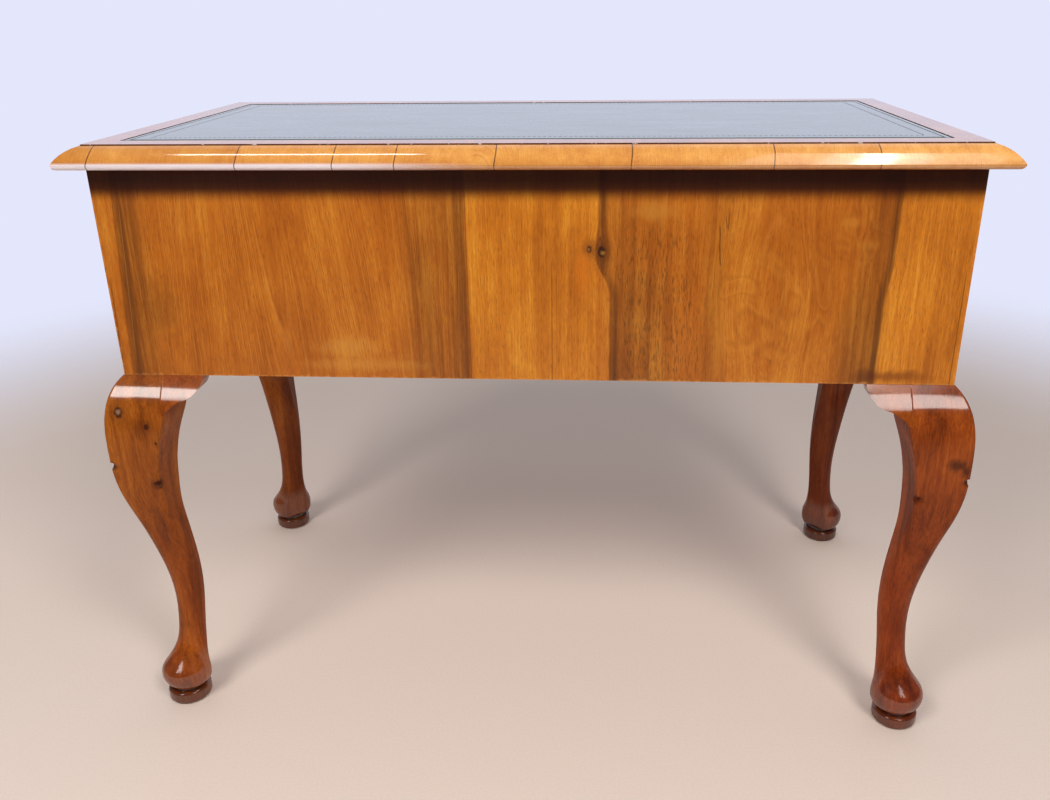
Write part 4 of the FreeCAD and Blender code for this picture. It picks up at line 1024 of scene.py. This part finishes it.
def dress_legs():
    golden = ((114, 55, 13), (152, 79, 20), (186, 108, 33))
    ruddy = ((98, 40, 12), (145, 66, 21), (180, 92, 31))
    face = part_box("leg_back_right")[1][1]
    knots = (
        ((0.508, face, 0.453), 0.016, 0.0062, 0.6),
        ((0.474, face, 0.435), 0.014, 0.0034, 0.6),
        ((0.465, face, 0.413), 0.008, 0.0018, 0.4),
    )
    pale = (((0.508, face, 0.4535), 0.0048),)
    dress(leg_finish("Golden_leg_walnut", golden, knots, pale), "leg_back_right")
    # The far legs take darker copies of the near legs' tones: painted shade.
    dress(leg_finish("Far_golden_leg_walnut_painted_shade", darker(golden, 0.88)), "leg_front_right")
    marks = (((-0.510, face, 0.402), (0.015, 1.0, 0.011)), ((-0.522, face, 0.396), (0.010, 1.0, 0.016)))
    dress(leg_finish("Ruddy_leg_walnut", ruddy, marks=marks), "leg_back_left")
    # Darker copy of the ruddy tones for the far leg: painted shade.
    dress(leg_finish("Far_ruddy_leg_walnut_painted_shade", darker(ruddy, 0.80)), "leg_front_left")
    bracket = ((114, 52, 14), (152, 74, 20), (174, 94, 29))
    dress(leg_finish("Knee_bracket_walnut", bracket), "knee_brackets")


def dress_drawers():
    brass = metal_finish("Aged_brass", (206, 160, 84), (104, 70, 34), 0.8)
    oak_tones = ((146, 108, 62), (178, 138, 86), (198, 160, 108))
    oak_deep = plain_wood_finish("Drawer_side_oak", "Y", oak_tones, 0.005)
    oak_long = plain_wood_finish("Drawer_bottom_oak", "X", oak_tones, 0.006)
    for index, drawer in enumerate(DRAWERS):
        low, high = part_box(drawer + "_front")
        finish = drawer_front_finish(drawer.capitalize() + "_walnut", low, high, 0.02 + 0.01 * index)
        dress(finish, drawer + "_front")
        dress(oak_deep, drawer + "_sides")
        dress(oak_long, drawer + "_back", drawer + "_bottom")
        dress(brass, drawer + "_handle_mounts")
    dress(brass, *BAILS)
    steel = metal_finish("Screw_steel", (150, 148, 144), (84, 66, 50), 0.8)
    dress(steel, "top_fixing_screws")


def build_stage():
    """A pale floor that fades out into the plain background."""
    shape = bmesh.new()
    bmesh.ops.create_circle(shape, cap_ends=True, segments=96, radius=FLOOR_RADIUS)
    floor = closed_mesh("Floor", shape)
    if floor.data.polygons[0].normal[2] < 0:
        floor.data.flip_normals()
    made = Finish("Pale_floor")
    tree = made.tree
    pile = noise(tree, made.place, 300.0, 3.0, 0.6)
    made.colour = mix(tree, pile, tone(222, 204, 192), tone(236, 220, 208))
    made.paint(roughness=0.85)
    away = vectors(tree, "LENGTH", vectors(tree, "MULTIPLY", made.place, (1.0, 1.0, 0.0)))
    made.looks({"Alpha": fall(tree, away, *FLOOR_FADE)})
    floor.data.materials.append(made.material)


def build_lamps():
    """Two soft lamps behind the camera, lamps that only gleam in polish, and a pale room beyond the desk."""
    world = bpy.data.worlds.new("Studio")
    bpy.context.scene.world = world
    world.use_nodes = True
    tree = world.node_tree
    _, y, _ = split(tree, add(tree, "ShaderNodeTexCoord").outputs["Generated"])
    fill = tree.nodes["Background"]
    fill.inputs["Color"].default_value = FILL_COLOUR
    give(tree, fill.inputs["Strength"], span(tree, y, -0.6, 0.8, 0.70, 0.08))
    glow = span(tree, y, -0.87, -0.38, 1.0, 0.08)
    gleam = add(tree, "ShaderNodeBackground", {"Color": tone(*ROOM_COLOUR), "Strength": glow})
    backdrop = add(tree, "ShaderNodeBackground", {"Color": tone(*ROOM_COLOUR), "Strength": 1.0})
    path = add(tree, "ShaderNodeLightPath").outputs
    bounced = maths(tree, "MAXIMUM", path["Is Glossy Ray"], path["Is Transmission Ray"])
    lit = add(tree, "ShaderNodeMixShader", {0: bounced, 1: fill.outputs[0], 2: gleam.outputs[0]})
    ways = {0: path["Is Camera Ray"], 1: lit.outputs[0], 2: backdrop.outputs[0]}
    shown = add(tree, "ShaderNodeMixShader", ways).outputs[0]
    give(tree, tree.nodes["World Output"].inputs["Surface"], shown)
    for name, place, tilt, sizes, power in LAMPS + GLEAMS:
        lamp = bpy.data.lights.new(name, "AREA")
        lamp.energy = power
        lamp.shape = "RECTANGLE"
        lamp.size, lamp.size_y = sizes
        lamp.color = LAMP_COLOUR
        holder = new_object(name, lamp)
        holder.location = place
        holder.rotation_euler = tuple(map(math.radians, tilt))
        holder.visible_glossy = name.endswith("_gleam")
        holder.visible_diffuse = not holder.visible_glossy
        holder.visible_camera = False


def build_camera():
    lens = bpy.data.cameras.new("Camera")
    lens.sensor_width = SENSOR_WIDTH
    lens.lens = CAMERA_LENS
    lens.shift_x, lens.shift_y = CAMERA_SHIFT
    camera = new_object("Camera", lens)
    heading = Matrix.Rotation(CAMERA_HEADING, 4, "Z")
    dip = Matrix.Rotation(QUARTER_TURN - CAMERA_DIP, 4, "X")
    roll = Matrix.Rotation(CAMERA_ROLL, 4, "Z")
    camera.matrix_world = Matrix.Translation(CAMERA_PLACE) @ heading @ dip @ roll
    bpy.context.scene.camera = camera


bpy.context.scene.view_settings.view_transform = "Standard"
dress_all()
tooling = tooled_finish()
build_leather(leather_finish(), tooling)
build_dashes(tooling)
bead_tones = ((126, 62, 22), (156, 86, 32), (186, 116, 50))
build_cockbeads(plain_wood_finish("Cockbead_walnut", "X", bead_tones, 0.004))
build_stage()
build_lamps()
build_camera()
